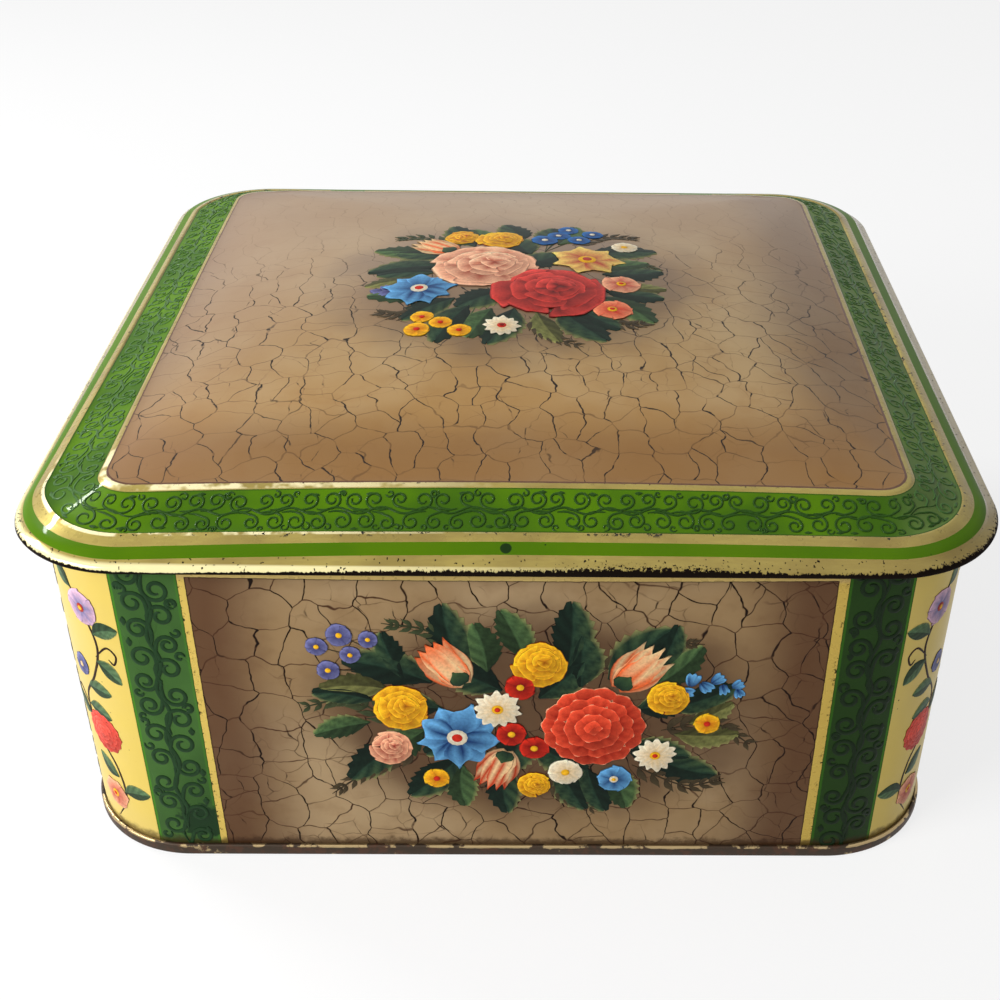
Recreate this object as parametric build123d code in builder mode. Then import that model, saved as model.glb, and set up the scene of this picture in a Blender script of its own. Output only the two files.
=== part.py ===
"""Square hinged tin box of printed tinplate, with a domed lid that overhangs the body.

Millimetres. The origin is the middle of the plan at the level of the table, Z points up, and the hinges are
at the back, on the +Y side.
"""
import os
from math import acos, atan2, copysign, cos, degrees, hypot, radians, sin, sqrt

from build123d import *

os.makedirs("parts", exist_ok=True)

# Sheet
sheet = 0.3
fold_gap = 0.02
bend_chamfer = 0.18
curl_angle = 270.0
curl_chords = 9

# Body
body_width = 190.5
body_depth = 190.5
corner_radius_step = 1.6
body_height = 82.7
mouth_curl_radius = 1.1
lock_seam_width = 4.5
lock_groove_width = 0.4
lock_groove_depth = 0.12

# Double seam round the foot, and the recessed base
seam_height = 2.8
seam_hook_gap = 0.5
base_recess = 3.4
base_step_inset = 9.0
base_step_rise = 1.2
base_step_run = 1.6

# Lid
lid_overhang = 4.75
lid_clearance = 0.25
rim_curl_radius = 1.1
flare_width = 3.2
flare_rise = 2.6
stripe_width = 2.6
stripe_rise = 1.15
outer_line_width = 1.9
outer_line_rise = 0.62
band_step_run = 0.45
band_step_drop = 0.2
band_width = 9.75
band_rise = 3.36
inner_line_width = 1.4
inner_line_rise = 0.45
panel_corner_radius = 6.25
dome_rise = 8.0
dome_edge_margin = 0.4
dome_levels = 7
dome_corner_chords = 4
dome_crown_width = 9.6
dome_rounding = 1.6
dome_roundness_ratio = 0.97

# Hinges
hinge_spacing = 104.0
hinge_width = 24.0
body_leaf_height = 12.0
lid_knuckle_width = 9.4
knuckle_side_gap = 0.3
knuckle_angle = 290.0
pin_diameter = 1.5
pin_clearance = 0.05
rim_to_knuckle_gap = 0.7
notch_clearance = 0.4
lid_leaf_width = 20.0
lid_leaf_end_gap = 1.5
tongue_margin = 1.0
cut_margin = 2.0

# Worked out: the lid's border, as distance in from the rim and height over the middle of the rim's curl
line_end = flare_width + stripe_width + outer_line_width
band_start = line_end + band_step_run
band_end = band_start + band_width
line_start = band_end + band_step_run
panel_inset = line_start + inner_line_width
stripe_top = flare_rise + stripe_rise
line_top = stripe_top + outer_line_rise
band_foot = line_top - band_step_drop
band_top = band_foot + band_rise
panel_edge_rise = band_top + inner_line_rise
border = [
    (flare_width, flare_rise),
    (flare_width + stripe_width, stripe_top),
    (line_end, line_top),
    (band_start, band_foot),
    (band_end, band_top),
    (line_start, panel_edge_rise),
    (panel_inset, panel_edge_rise),
]
lid_width = body_width + 2 * lid_overhang
lid_depth = body_depth + 2 * lid_overhang
lid_corner_radius = panel_corner_radius + panel_inset
body_corner_radius = lid_corner_radius - corner_radius_step

# Worked out: how high the rim lies when the border rests over the curl of the mouth
mouth_curl_z = body_height - mouth_curl_radius
mouth_curl_inset = lid_overhang + mouth_curl_radius


def rest_height(near, far):
    """Height of the rim at which the slope between two border points clears the curl of the mouth."""
    slope = (far[1] - near[1]) / (far[0] - near[0])
    rise_over_curl = near[1] + slope * (mouth_curl_inset - near[0])
    return mouth_curl_z + (mouth_curl_radius + lid_clearance + sheet) * hypot(1, slope) - rise_over_curl


rim_z = max(rest_height(near, far) for near, far in zip(border[:2], border[1:3]))
panel_edge_z = rim_z + panel_edge_rise

# Worked out: the hinge axis, against the back of the wall and just clear of the rim's curl
knuckle_bore_radius = pin_diameter / 2 + pin_clearance
knuckle_radius = knuckle_bore_radius + sheet
axis_y = body_depth / 2 + fold_gap + knuckle_radius
rim_curl_y = lid_depth / 2 - rim_curl_radius
axis_to_rim = rim_curl_radius + knuckle_radius + rim_to_knuckle_gap
axis_z = rim_z - sqrt(max(0.0, axis_to_rim**2 - (rim_curl_y - axis_y) ** 2))
notch_floor_z = axis_z - knuckle_radius - notch_clearance
notch_width = lid_knuckle_width + 2 * knuckle_side_gap
tongue_start_y = lid_depth / 2 - mouth_curl_inset - mouth_curl_radius - tongue_margin
lid_height = panel_edge_rise + dome_rise
hinge_places = {"left": -hinge_spacing / 2, "right": hinge_spacing / 2}


def curl(centre, radius, start_angle, angle):
    """Points of a curl of the sheet, folded in short chords."""
    turns = [radians(start_angle + angle * chord / curl_chords) for chord in range(curl_chords + 1)]
    return [(centre[0] + radius * cos(turn), centre[1] + radius * sin(turn)) for turn in turns]


def ring(section, width, depth, corner_radius):
    """Carry a section, drawn at the middle of the +X side, round the whole plan."""
    corner_x = width / 2 - corner_radius
    corner_y = depth / 2 - corner_radius
    corner_axis = Axis((corner_x, corner_y, 0), (0, 0, 1))
    corner_section = Pos(0, corner_y, 0) * section
    extrude(section, amount=corner_y, dir=(0, 1, 0))
    revolve(corner_section, axis=corner_axis, revolution_arc=90)
    extrude(corner_section.rotate(corner_axis, 90), amount=corner_x, dir=(-1, 0, 0))
    mirror(about=Plane.XZ)
    mirror(about=Plane.YZ)


def rounded_outline(half_width, half_depth, corner_radius):
    """Points of a rectangle whose corners are rounded in short chords."""
    points = []
    for corner in range(4):
        centre_x = copysign(half_width - corner_radius, cos(radians(90 * corner + 45)))
        centre_y = copysign(half_depth - corner_radius, sin(radians(90 * corner + 45)))
        for chord in range(dome_corner_chords + 1):
            turn = radians(90 * (corner + chord / dome_corner_chords))
            points.append((centre_x + corner_radius * cos(turn), centre_y + corner_radius * sin(turn)))
    return points


# Body wall
wall_face_x = body_width / 2
hook_x = wall_face_x + sheet + 2 * fold_gap
hook_z = 2 * sheet + fold_gap
hook_top_z = seam_height - sheet - seam_hook_gap
mouth_curl_centre = (wall_face_x - mouth_curl_radius, mouth_curl_z)
with BuildSketch(Plane.XZ) as wall_section:
    with BuildLine():
        Polyline(
            *curl(mouth_curl_centre, mouth_curl_radius, curl_angle, -curl_angle),
            (wall_face_x, hook_z),
            (hook_x, hook_z),
            (hook_x, hook_top_z),
        )
        offset(amount=sheet, side=Side.RIGHT, kind=Kind.INTERSECTION)
    make_face()
    chamfer(vertices().filter_by_position(Axis.Y, hook_z - 2 * sheet, hook_z - sheet / 2), length=bend_chamfer)
with BuildPart() as body_wall:
    ring(wall_section.sketch, body_width, body_depth, body_corner_radius)
    # Lock seam up the middle of the back: folded layers inside, a fine groove outside
    seam_foot_z = base_recess + sheet + fold_gap
    seam_top_z = mouth_curl_z - mouth_curl_radius - sheet
    with Locations((0, body_depth / 2 - sheet, seam_foot_z)):
        Box(
            lock_seam_width,
            2 * sheet,
            seam_top_z - seam_foot_z,
            align=(Align.CENTER, Align.MAX, Align.MIN),
        )
    with Locations((lock_seam_width / 2, body_depth / 2, seam_height)):
        Box(
            lock_groove_width,
            2 * lock_groove_depth,
            seam_top_z - seam_height,
            align=(Align.CENTER, Align.CENTER, Align.MIN),
            mode=Mode.SUBTRACT,
        )
    # Notches that let the lid's leaves through
    with Locations(*[(x, body_depth / 2, notch_floor_z) for x in hinge_places.values()]):
        Box(
            notch_width,
            2 * (2 * mouth_curl_radius + cut_margin),
            body_height,
            align=(Align.CENTER, Align.CENTER, Align.MIN),
            mode=Mode.SUBTRACT,
        )
body_wall.part.label = "body_wall"

# Base, folded round the foot of the wall
chuck_inset = 2 * sheet + fold_gap
chuck_x = wall_face_x - chuck_inset
seam_face_x = wall_face_x + 3 * (sheet + fold_gap)
cover_hook_x = wall_face_x + fold_gap
cover_hook_z = hook_z + seam_hook_gap
plate_inset = chuck_inset - sheet
with BuildSketch(Plane.XZ) as seam_section:
    with BuildLine():
        Polyline(
            (chuck_x, base_recess),
            (chuck_x, 0),
            (seam_face_x, 0),
            (seam_face_x, seam_height),
            (cover_hook_x, seam_height),
            (cover_hook_x, cover_hook_z),
        )
        offset(amount=sheet, side=Side.RIGHT, kind=Kind.INTERSECTION)
    make_face()
    for bend_z in (0, seam_height):
        chamfer(vertices().filter_by_position(Axis.Y, bend_z - fold_gap, bend_z + fold_gap), length=bend_chamfer)
with BuildPart() as base_panel:
    ring(seam_section.sketch, body_width, body_depth, body_corner_radius)
    with BuildSketch(Plane.XY.offset(base_recess)):
        RectangleRounded(
            body_width - 2 * plate_inset,
            body_depth - 2 * plate_inset,
            body_corner_radius - plate_inset,
        )
    extrude(amount=sheet)
    # The middle of the base is pressed up by one step
    for inset, height, mode in (
        (base_step_inset, base_recess + sheet, Mode.ADD),
        (base_step_inset + sheet, base_recess, Mode.SUBTRACT),
    ):
        for level_inset, level in ((inset, height), (inset + base_step_run, height + base_step_rise)):
            with BuildSketch(Plane.XY.offset(level)):
                RectangleRounded(
                    body_width - 2 * level_inset,
                    body_depth - 2 * level_inset,
                    body_corner_radius - level_inset,
                )
        loft(ruled=True, mode=mode)
base_panel.part.label = "base_panel"

# Lid: the flared border and its rolled rim
lid_edge_x = lid_width / 2
flare_inset = flare_width - rim_curl_radius
flare_foot_angle = degrees(
    atan2(flare_rise, -flare_inset) - acos(rim_curl_radius / hypot(flare_rise, flare_inset))
)
with BuildSketch(Plane.XZ) as border_section:
    with BuildLine():
        Polyline(
            *[(lid_edge_x - inset, rim_z + rise) for inset, rise in reversed(border)],
            *curl((lid_edge_x - rim_curl_radius, rim_z), rim_curl_radius, flare_foot_angle, -curl_angle),
        )
        offset(amount=sheet, side=Side.RIGHT, kind=Kind.INTERSECTION)
    make_face()
with BuildPart() as lid_border:
    ring(border_section.sketch, lid_width, lid_depth, lid_corner_radius)

# Lid: the domed panel, whose level lines turn from a rounded square into a circle towards the middle
panel_half_width = lid_width / 2 - panel_inset
panel_half_depth = lid_depth / 2 - panel_inset
dome_half_width = panel_half_width - dome_edge_margin
dome_half_depth = panel_half_depth - dome_edge_margin
dome_half = min(dome_half_width, dome_half_depth)
edge_roundness = (panel_corner_radius - dome_edge_margin) / dome_half
crown_share = dome_crown_width / (2 * dome_half)
level_lines = []
for level in range(dome_levels):
    share = 1 - (1 - crown_share) * level / (dome_levels - 1)
    roundness = min(dome_roundness_ratio, edge_roundness + dome_rounding * (1 - share))
    level_z = panel_edge_z + dome_rise * (1 - share**2)
    level_line = rounded_outline(
        dome_half_width * share, dome_half_depth * share, roundness * dome_half * share
    )
    level_lines.append([(x, y, level_z) for x, y in level_line])
foot_line = [(x, y, panel_edge_z - sheet) for x, y, _ in level_lines[0]]
dome_faces = [Face(Wire.make_polygon(foot_line)), Face(Wire.make_polygon(level_lines[-1]))]
for lower, upper in zip([foot_line] + level_lines, level_lines):
    for corner in range(len(lower)):
        facet = [lower[corner - 1], lower[corner], upper[corner], upper[corner - 1]]
        dome_faces.append(Face(Wire.make_polygon(facet)))
dome_form = Solid(Shell(dome_faces))
with BuildPart() as lid_shell:
    # The flat between the border and the foot of the dome
    with BuildSketch(Plane.XY.offset(panel_edge_z - sheet)):
        RectangleRounded(
            2 * panel_half_width + inner_line_width,
            2 * panel_half_depth + inner_line_width,
            panel_corner_radius + inner_line_width / 2,
        )
    extrude(amount=sheet)
    extrude(dome_faces[0], amount=sheet, both=True, mode=Mode.SUBTRACT)
    add(dome_form)
    add(dome_form.moved(Pos(0, 0, -sheet)), mode=Mode.SUBTRACT)
    add(lid_border.part)
lid_shell.part.label = "lid_shell"

# Hinge leaves: both lie against the wall's plane at the axis, and curl round the pin from there
pin_centre = (axis_y, axis_z)
leaf_back_y = axis_y - knuckle_radius
with BuildSketch(Plane.YZ) as body_leaf_section:
    with BuildLine():
        Line((leaf_back_y, axis_z - body_leaf_height), (leaf_back_y, axis_z))
        CenterArc(pin_centre, knuckle_radius, 180, -knuckle_angle)
        offset(amount=sheet, side=Side.RIGHT)
    make_face()

band_slope = band_rise / band_width
leaf_end_inset = band_end - lid_leaf_end_gap
leaf_bend_inset = lid_depth / 2 - leaf_back_y


def under_band(inset):
    """Height of the underside of a leaf that lies flat against the underside of the band."""
    band_face = rim_z + band_foot + band_slope * (inset - band_start)
    return band_face - (2 * sheet + fold_gap) * hypot(1, band_slope)


with BuildSketch(Plane.YZ) as lid_leaf_section:
    with BuildLine():
        Polyline(
            (lid_depth / 2 - leaf_end_inset, under_band(leaf_end_inset)),
            (leaf_back_y, under_band(leaf_bend_inset)),
            (leaf_back_y, axis_z),
        )
        CenterArc(pin_centre, knuckle_radius, 180, knuckle_angle)
        offset(amount=sheet, side=Side.LEFT)
    make_face()


def make_body_leaf(x):
    """Leaf on the back of the wall, with a knuckle at each end."""
    with BuildPart() as leaf:
        extrude(body_leaf_section.sketch.moved(Pos(x, 0, 0)), amount=hinge_width / 2, both=True)
        with Locations((x, axis_y, notch_floor_z)):
            Box(
                notch_width,
                2 * (knuckle_radius + cut_margin),
                2 * (knuckle_radius + cut_margin),
                align=(Align.CENTER, Align.CENTER, Align.MIN),
                mode=Mode.SUBTRACT,
            )
    return leaf


def make_lid_leaf(x):
    """Leaf under the lid's border, narrowed to a tongue where it passes through the wall to its knuckle."""
    with BuildPart() as leaf:
        extrude(lid_leaf_section.sketch.moved(Pos(x, 0, 0)), amount=lid_leaf_width / 2, both=True)
        side_width = (lid_leaf_width - lid_knuckle_width) / 2
        side_x = (lid_leaf_width + lid_knuckle_width) / 4
        with Locations(*[(x + side * side_x, tongue_start_y, axis_z) for side in (-1, 1)]):
            Box(
                side_width,
                lid_depth,
                2 * (lid_height + cut_margin),
                align=(Align.CENTER, Align.MIN, Align.CENTER),
                mode=Mode.SUBTRACT,
            )
    return leaf


def make_pin(x):
    """Wire pin through the three knuckles of one hinge."""
    with BuildPart() as pin:
        with BuildSketch(Plane.YZ.offset(x)):
            with Locations(pin_centre):
                Circle(pin_diameter / 2)
        extrude(amount=hinge_width / 2, both=True)
    return pin


pieces = {"body_wall": body_wall, "base_panel": base_panel, "lid_shell": lid_shell}
for side, x in hinge_places.items():
    pieces["body_leaf_" + side] = make_body_leaf(x)
    pieces["lid_leaf_" + side] = make_lid_leaf(x)
    pieces["hinge_pin_" + side] = make_pin(x)
for name, piece in pieces.items():
    piece.part.label = name
    export_step(piece.part, f"parts/{name}.step")
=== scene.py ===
"""Dressed tin box: printed tinplate with a domed, hinged lid.

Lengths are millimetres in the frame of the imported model, and make_piece turns them into metres. Side 0 of the box is
the front, 1 the right, 2 the back and 3 the left. On a side, u runs to the right as seen from outside, and past the
straight part it follows the corner's arc. An inset is measured inwards from the outline of the plan.
"""
import random
from math import acos, atan2, cos, degrees, hypot, pi, radians, sin, tau

import bmesh
import bpy
import numpy as np
from mathutils import Matrix, Vector


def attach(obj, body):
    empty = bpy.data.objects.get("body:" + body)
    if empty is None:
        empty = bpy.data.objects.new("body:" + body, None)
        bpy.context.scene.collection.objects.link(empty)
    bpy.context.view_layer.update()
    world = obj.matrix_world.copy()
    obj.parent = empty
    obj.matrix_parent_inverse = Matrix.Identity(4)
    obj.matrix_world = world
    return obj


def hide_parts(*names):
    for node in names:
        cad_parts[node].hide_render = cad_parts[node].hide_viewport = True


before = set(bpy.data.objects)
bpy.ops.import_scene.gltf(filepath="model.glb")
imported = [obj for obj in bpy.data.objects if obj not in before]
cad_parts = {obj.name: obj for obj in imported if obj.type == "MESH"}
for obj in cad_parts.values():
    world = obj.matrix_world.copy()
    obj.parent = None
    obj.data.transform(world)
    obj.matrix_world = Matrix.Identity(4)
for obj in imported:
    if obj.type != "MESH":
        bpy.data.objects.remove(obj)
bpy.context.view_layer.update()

# Sizes of the sheet, the body and the lid
SHEET = 0.3
WALL_HALF = 95.25
WALL_RADIUS = 24.4
WALL_FOOT = 0.7
MOUTH_Z = 81.6
MOUTH_CURL = 1.1
SEAM_TOP = 2.8
SEAM_OUT = 0.96
CHUCK_INSET = 0.32
BASE_Z = 3.4
BASE_STEP = 1.2
NOTCH_X = 52.0
NOTCH_HALF = 5.0
NOTCH_FLOOR = 76.7146
LID_HALF = 100.0
LID_RADIUS = 26.0
RIM_Z = 79.632
RIM_CURL = 1.1
FLARE_INSET = 3.2
FLARE_RISE = 2.6
LID_BAND_INSET = 8.15
LID_BAND_WIDTH = 9.75
LID_BAND_MID_RADIUS = 13.0
PANEL_INSET = 19.75
PANEL_RISE = 7.98
DOME_RISE = 8.0
DOME_HALF = 79.85
DOME_RADIUS = 5.85
FLOWER_RELIEF = 0.5

# Small deviations of the pressed sheet from flat, side by side
WALL_BULGE = (1.2, 0.9, 0.0, 0.9)
LID_CROWN = (1.0, 0.6, 0.0, 0.6)
DRAWN_INSETS = (0.0, 3.2, 5.8, 8.15, 9.5, 16.5, 17.9, 18.6, 19.75)
DRAWN_MOVES = (
    (0.0, 0.0, 0.0, 0.0, 0.0, 0.0, 0.2, 0.15, 0.0),
    (0.0,) * 9,
    (0.0,) * 9,
    (1.0, 0.2, -0.2, -0.8, -0.5, 0.5, 0.6, 0.4, 0.0),
)
# How far the stripe's lines lie down the flare, by u, side by side, and what share of it each inset takes
LINE_SLIDES = (
    ((-74, -50, -29, 0, 40, 74), (1.25, 0.8, 0.47, 0.22, 0.3, 0.5)),
    ((-74, -20), (0.5, 0.0)),
    ((0, 1), (0.0, 0.0)),
    ((10, 74), (0.0, 1.25)),
)
SLIDE_SHARES = ((1.68, 3.2, 5.8, 8.15, 9.0, 17.9, 19.2), (0.0, 0.88, 1.12, 0.65, 0.65, 0.45, 0.0))

# The sheet of the lid's border as (inset, height over the rim), from the roll to the panel
BORDER = [
    (1.68, 0.93), (2.2, 1.53), (2.75, 2.13),
    (FLARE_INSET, FLARE_RISE), (4.0, 2.98), (4.9, 3.38), (5.8, 3.75),
    (6.05, 3.9), (6.5, 4.06), (7.1, 4.25), (7.55, 4.37), (7.8, 4.35), (8.0, 4.23), (LID_BAND_INSET, 4.17),
    (9.0, 4.45), (11.0, 5.12), (13.0, 5.82), (15.0, 6.52), (17.0, 7.21), (17.9, 7.53),
    (17.98, 7.58), (18.1, 7.68), (18.3, 7.76), (18.6, 7.82), (19.1, 7.89), (19.5, 7.95), (PANEL_INSET, PANEL_RISE),
]

# Places of the print, which sits a little to the right on the body
PRINT_SHIFT = 1.6
FRAME_IN = 63.5
BAND_IN = 65.6
BAND_OUT = 79.6
CORNER_MID = 90.015
TOP_LINE = 75.3


def rgb(red, green, blue):
    """Scene-linear colour from an sRGB colour of 0 to 255."""
    scaled = [channel / 255 for channel in (red, green, blue)]
    return tuple(c / 12.92 if c <= 0.04045 else ((c + 0.055) / 1.055) ** 2.4 for c in scaled)


# Materials
class Value:
    """A socket to calculate with: each operation adds a node to its shader, and | takes the larger of two values."""

    def __init__(self, shader, socket):
        self.shader, self.socket = shader, socket

    def __add__(self, other):
        return self.shader.math("ADD", self, other)

    def __sub__(self, other):
        return self.shader.math("SUBTRACT", self, other)

    def __rsub__(self, other):
        return self.shader.math("SUBTRACT", other, self)

    def __mul__(self, other):
        return self.shader.math("MULTIPLY", self, other)

    def __truediv__(self, other):
        return self.shader.math("DIVIDE", self, other)

    def __gt__(self, other):
        return self.shader.math("GREATER_THAN", self, other)

    def __or__(self, other):
        return self.shader.math("MAXIMUM", self, other)

    def __abs__(self):
        return self.shader.math("ABSOLUTE", self)

    def ramp(self, low, high, to_low=0.0, to_high=1.0):
        """Smooth step from low to high."""
        inputs = {0: self, 1: low, 2: high, 3: to_low, 4: to_high}
        return self.shader.value("ShaderNodeMapRange", inputs, interpolation_type="SMOOTHSTEP")


class Shader:
    """Nodes of a material or world; its calls take numbers, colours or values and return values."""

    def __init__(self, name, blocks=bpy.data.materials):
        self.block = blocks.new(name)
        self.block.use_nodes = True
        self.tree = self.block.node_tree
        self.tree.nodes.clear()
        self.where = None

    def node(self, kind, inputs=(), **settings):
        made = self.tree.nodes.new(kind)
        for key, setting in settings.items():
            setattr(made, key, setting)
        for key, value in dict(inputs).items():
            socket = made.inputs[key]
            if isinstance(value, Value):
                self.tree.links.new(value.socket, socket)
            elif isinstance(value, tuple) and socket.type == "RGBA":
                socket.default_value = (*value[:3], 1)
            else:
                socket.default_value = value
        return made

    def value(self, kind, inputs=(), out=0, **settings):
        return Value(self, self.node(kind, inputs, **settings).outputs[out])

    def math(self, operation, a, b=0.0):
        return self.value("ShaderNodeMath", {0: a, 1: b}, operation=operation)

    def vector(self, operation, a, b=(0, 0, 0)):
        out = "Value" if operation in ("DOT_PRODUCT", "LENGTH") else "Vector"
        return self.value("ShaderNodeVectorMath", {0: a, 1: b}, out, operation=operation)

    def scaled(self, a, factor):
        return self.value("ShaderNodeVectorMath", {0: a, "Scale": factor}, operation="SCALE")

    def mix(self, factor, a, b, blend="MIX"):
        return self.value("ShaderNodeMix", {0: factor, 6: a, 7: b}, 2, data_type="RGBA", blend_type=blend)

    def over(self, colour, *layers):
        """A colour under layers of (share, colour)."""
        for share, layer in layers:
            colour = self.mix(share, colour, layer)
        return colour

    def blend(self, factor, a, b):
        return self.value("ShaderNodeMix", {0: factor, 2: a, 3: b}, data_type="FLOAT")

    def split(self, a):
        return [Value(self, socket) for socket in self.node("ShaderNodeSeparateXYZ", {0: a}).outputs]

    def join(self, x, y):
        return self.value("ShaderNodeCombineXYZ", {0: x, 1: y, 2: 0.0})

    def noise(self, size, detail=2.0, rough=0.5, stretch=None, at=None, out="Fac"):
        """Noise whose features are about size across, at a place or else where the shader is, stretched or not."""
        at = at or self.where
        if stretch:
            at = self.vector("MULTIPLY", at, stretch)
        inputs = {"Vector": at, "Scale": 1 / size, "Detail": detail, "Roughness": rough}
        return self.value("ShaderNodeTexNoise", inputs, out)

    def flat(self):
        """Place on the print, and 1 on the inner faces of the sheet."""
        return self.split(self.value("ShaderNodeAttribute", (), "Vector", attribute_name="flat"))

    def place(self):
        """Place on the object in millimetres."""
        return self.scaled(self.value("ShaderNodeTexCoord", (), "Object"), 1000.0)

    def bump(self, height, depth, strength):
        return self.value("ShaderNodeBump", {"Height": height, "Distance": depth, "Strength": strength})

    def seen(self):
        """1 for the rays that see the background."""
        rays = self.node("ShaderNodeLightPath").outputs
        names = ("Is Camera Ray", "Is Glossy Ray", "Is Transmission Ray")
        camera, glossy, transmission = (Value(self, rays[name]) for name in names)
        return camera | (glossy | transmission)

    def surface(self, colour, roughness, metallic=0.0, normal=None, coat=0.0, coat_roughness=0.1, specular=0.5):
        inputs = {"Base Color": colour, "Roughness": roughness, "Metallic": metallic, "Specular IOR Level": specular}
        inputs.update({"Coat Weight": coat, "Coat Roughness": coat_roughness})
        if normal is not None:
            inputs["Normal"] = normal
        return self.value("ShaderNodeBsdfPrincipled", inputs)

    def output(self, surface, kind="Material"):
        self.node("ShaderNodeOutput" + kind, {"Surface": surface})
        return self.block

    def finish(self, *looks):
        return self.output(self.surface(*looks))


GROUND_EDGE = rgb(76, 45, 26)
HALO = rgb(78, 54, 36)
CRACK_BROWN = rgb(62, 34, 18)
CRACK_BLACK = rgb(22, 10, 3)
BAND_GREEN = rgb(81, 122, 0)
BAND_DEEP = rgb(58, 96, 8)
STRIPE_GREEN = rgb(79, 115, 0)
SCROLL_GREEN = rgb(36, 72, 8)
GOLD = rgb(164, 146, 72)
GOLD_DARK = rgb(132, 112, 52)
FRAME_GOLD = rgb(214, 184, 92)
LACQUER = rgb(196, 160, 96)
LACQUER_DARK = rgb(172, 136, 76)
YELLOW = rgb(204, 180, 98)
SIDE_TONES = (rgb(160, 136, 102), rgb(141, 115, 80), rgb(106, 77, 48))
LID_TONES = (rgb(174, 146, 102), rgb(160, 126, 76), rgb(142, 104, 54))
WORN = rgb(16, 9, 5)


def crackle(sh, where, cell, lean):
    """Network of cracks: distance in mm to the nearest crack, and how far it runs across lean."""
    bent = where
    for size, rough, push in ((cell * 1.1, 0.4, cell * 0.9), (cell * 0.3, 0.5, cell * 0.12)):
        away = sh.vector("SUBTRACT", sh.noise(size, 1.0, rough, None, where, "Color"), (0.5, 0.5, 0.5))
        bent = sh.vector("ADD", bent, sh.scaled(away, push))

    def cells(feature, out):
        inputs = {"Vector": bent, "Scale": 1 / cell, "Randomness": 1.0}
        return sh.value("ShaderNodeTexVoronoi", inputs, out, voronoi_dimensions="2D", feature=feature)

    apart = sh.vector("SUBTRACT", cells("F2", "Position"), cells("F1", "Position"))
    across = sh.vector("DOT_PRODUCT", sh.vector("NORMALIZE", apart), lean)
    return cells("DISTANCE_TO_EDGE", "Distance") * cell, abs(across)


def crackle_ground(sh, tones, cell, middle, edge, halo, brown_share=1.0, sheen_fade_from=0.0):
    """Colour of the tan crackle ground and how dark its cracks are.

    edge gives how far from the middle the ground darkens, and how much; halo is (x, y, width, height, share).
    """
    x, y, _ = sh.split(sh.where)
    light, medium, dark_tone = tones
    cloud = sh.noise(40.0, 3.0, 0.55)
    over_x, over_y = ((abs(way - mid) - start) | 0.0 for way, mid, start in zip((x, y), middle, edge))
    over = sh.vector("LENGTH", sh.join(over_x, over_y)) + (cloud - 0.5) * 14.0
    away = sh.vector("LENGTH", sh.join((x - halo[0]) / halo[2], (y - halo[1]) / halo[3]))
    away = away + (sh.noise(16.0) - 0.5) * 0.55
    ground = sh.over(
        medium, (cloud.ramp(0.36, 0.64), light), (sh.noise(8.0, 3.0, 0.6).ramp(0.45, 0.75, 0.0, 0.3), dark_tone),
        (over.ramp(1.0, 21.0, 0.0, edge[2]), GROUND_EDGE), (away.ramp(1.2, 0.7, 0.0, halo[4]), HALO),
    )
    main, across = crackle(sh, sh.where, cell, (0.95, 0.31, 0.0))
    fine, fine_across = crackle(sh, sh.vector("ADD", sh.where, (311.0, 47.0, 0.0)), cell * 0.75, (0.98, 0.2, 0.0))
    gate = sh.noise(cell * 0.7, 2.0, 0.6)
    width = sh.noise(2.6).ramp(0.3, 0.7, 0.05, 0.15)
    dark = (main - width).ramp(0.08, -0.02) * (across.ramp(0.48, 0.75) * gate.ramp(0.37, 0.45))
    brown = main.ramp(0.24, 0.05) * sh.noise(11.0).ramp(0.35, 0.65, 0.6 * brown_share, brown_share)
    fine_gate = sh.noise(17.0, 1.0).ramp(0.46, 0.56) * gate.ramp(0.35, 0.6, 0.2, 0.8)
    thin = fine.ramp(0.22, 0.02) * fine_gate
    thin_dark = thin * (fine_across.ramp(0.7, 0.95) * gate.ramp(0.52, 0.6))
    # Painted sheen fades the cracks towards the back of the lid
    if sheen_fade_from:
        keep = (y + (cloud - 0.5) * 60.0).ramp(sheen_fade_from, -10.0, 0.2, 1.0)
        dark, brown, thin, thin_dark = (mask * keep for mask in (dark, brown, thin, thin_dark))
    black = dark | thin_dark
    colour = sh.over(ground, (brown, CRACK_BROWN), (thin * (0.7 * brown_share), CRACK_BROWN), (black, CRACK_BLACK))
    return colour, black | (brown * 0.6)


def crack_relief(sh, cracks):
    """Bumps of a panel: sunk cracks and a fine grain."""
    return sh.bump(cracks * -0.5 + sh.noise(1.2, 3.0) * 0.5, 0.00006, 0.6)


def finish_print(sh, inside, colour, roughness, metallic, *looks):
    """Finish a printed sheet; its inner faces show gold lacquer instead of the print."""
    streaks = sh.noise(7.0, 4.0, 0.6, (1.0, 1.0, 0.12), sh.place())
    lacquer = sh.mix(streaks.ramp(0.3, 0.7), LACQUER_DARK, LACQUER)
    inside = inside > 0.5
    return sh.finish(
        sh.mix(inside, colour, lacquer), sh.blend(inside, roughness, streaks.ramp(0.3, 0.7, 0.36, 0.5)),
        sh.blend(inside, metallic, 0.65), *looks,
    )


def gold_print(sh):
    """Gold print, a little uneven, as colour and roughness."""
    patch = sh.noise(14.0, 3.0).ramp(0.4, 0.75, 0.0, 0.8)
    streak = sh.noise(0.35, stretch=(0.08, 0.08, 1.0)).ramp(0.35, 0.65, 0.0, 0.25)
    return sh.over(GOLD, (patch, GOLD_DARK), (streak, GOLD_DARK)), sh.noise(2.0, 3.0).ramp(0.3, 0.7, 0.24, 0.38)


def foot_grime(sh, z, colour):
    """Rust and dirt that gather just over the foot seam."""
    ragged = z + sh.noise(4.0, 4.0, 0.7) * -5.0
    return sh.mix(ragged.ramp(2.6, 0.8, 0.0, 0.75), colour, rgb(52, 32, 18))


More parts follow.
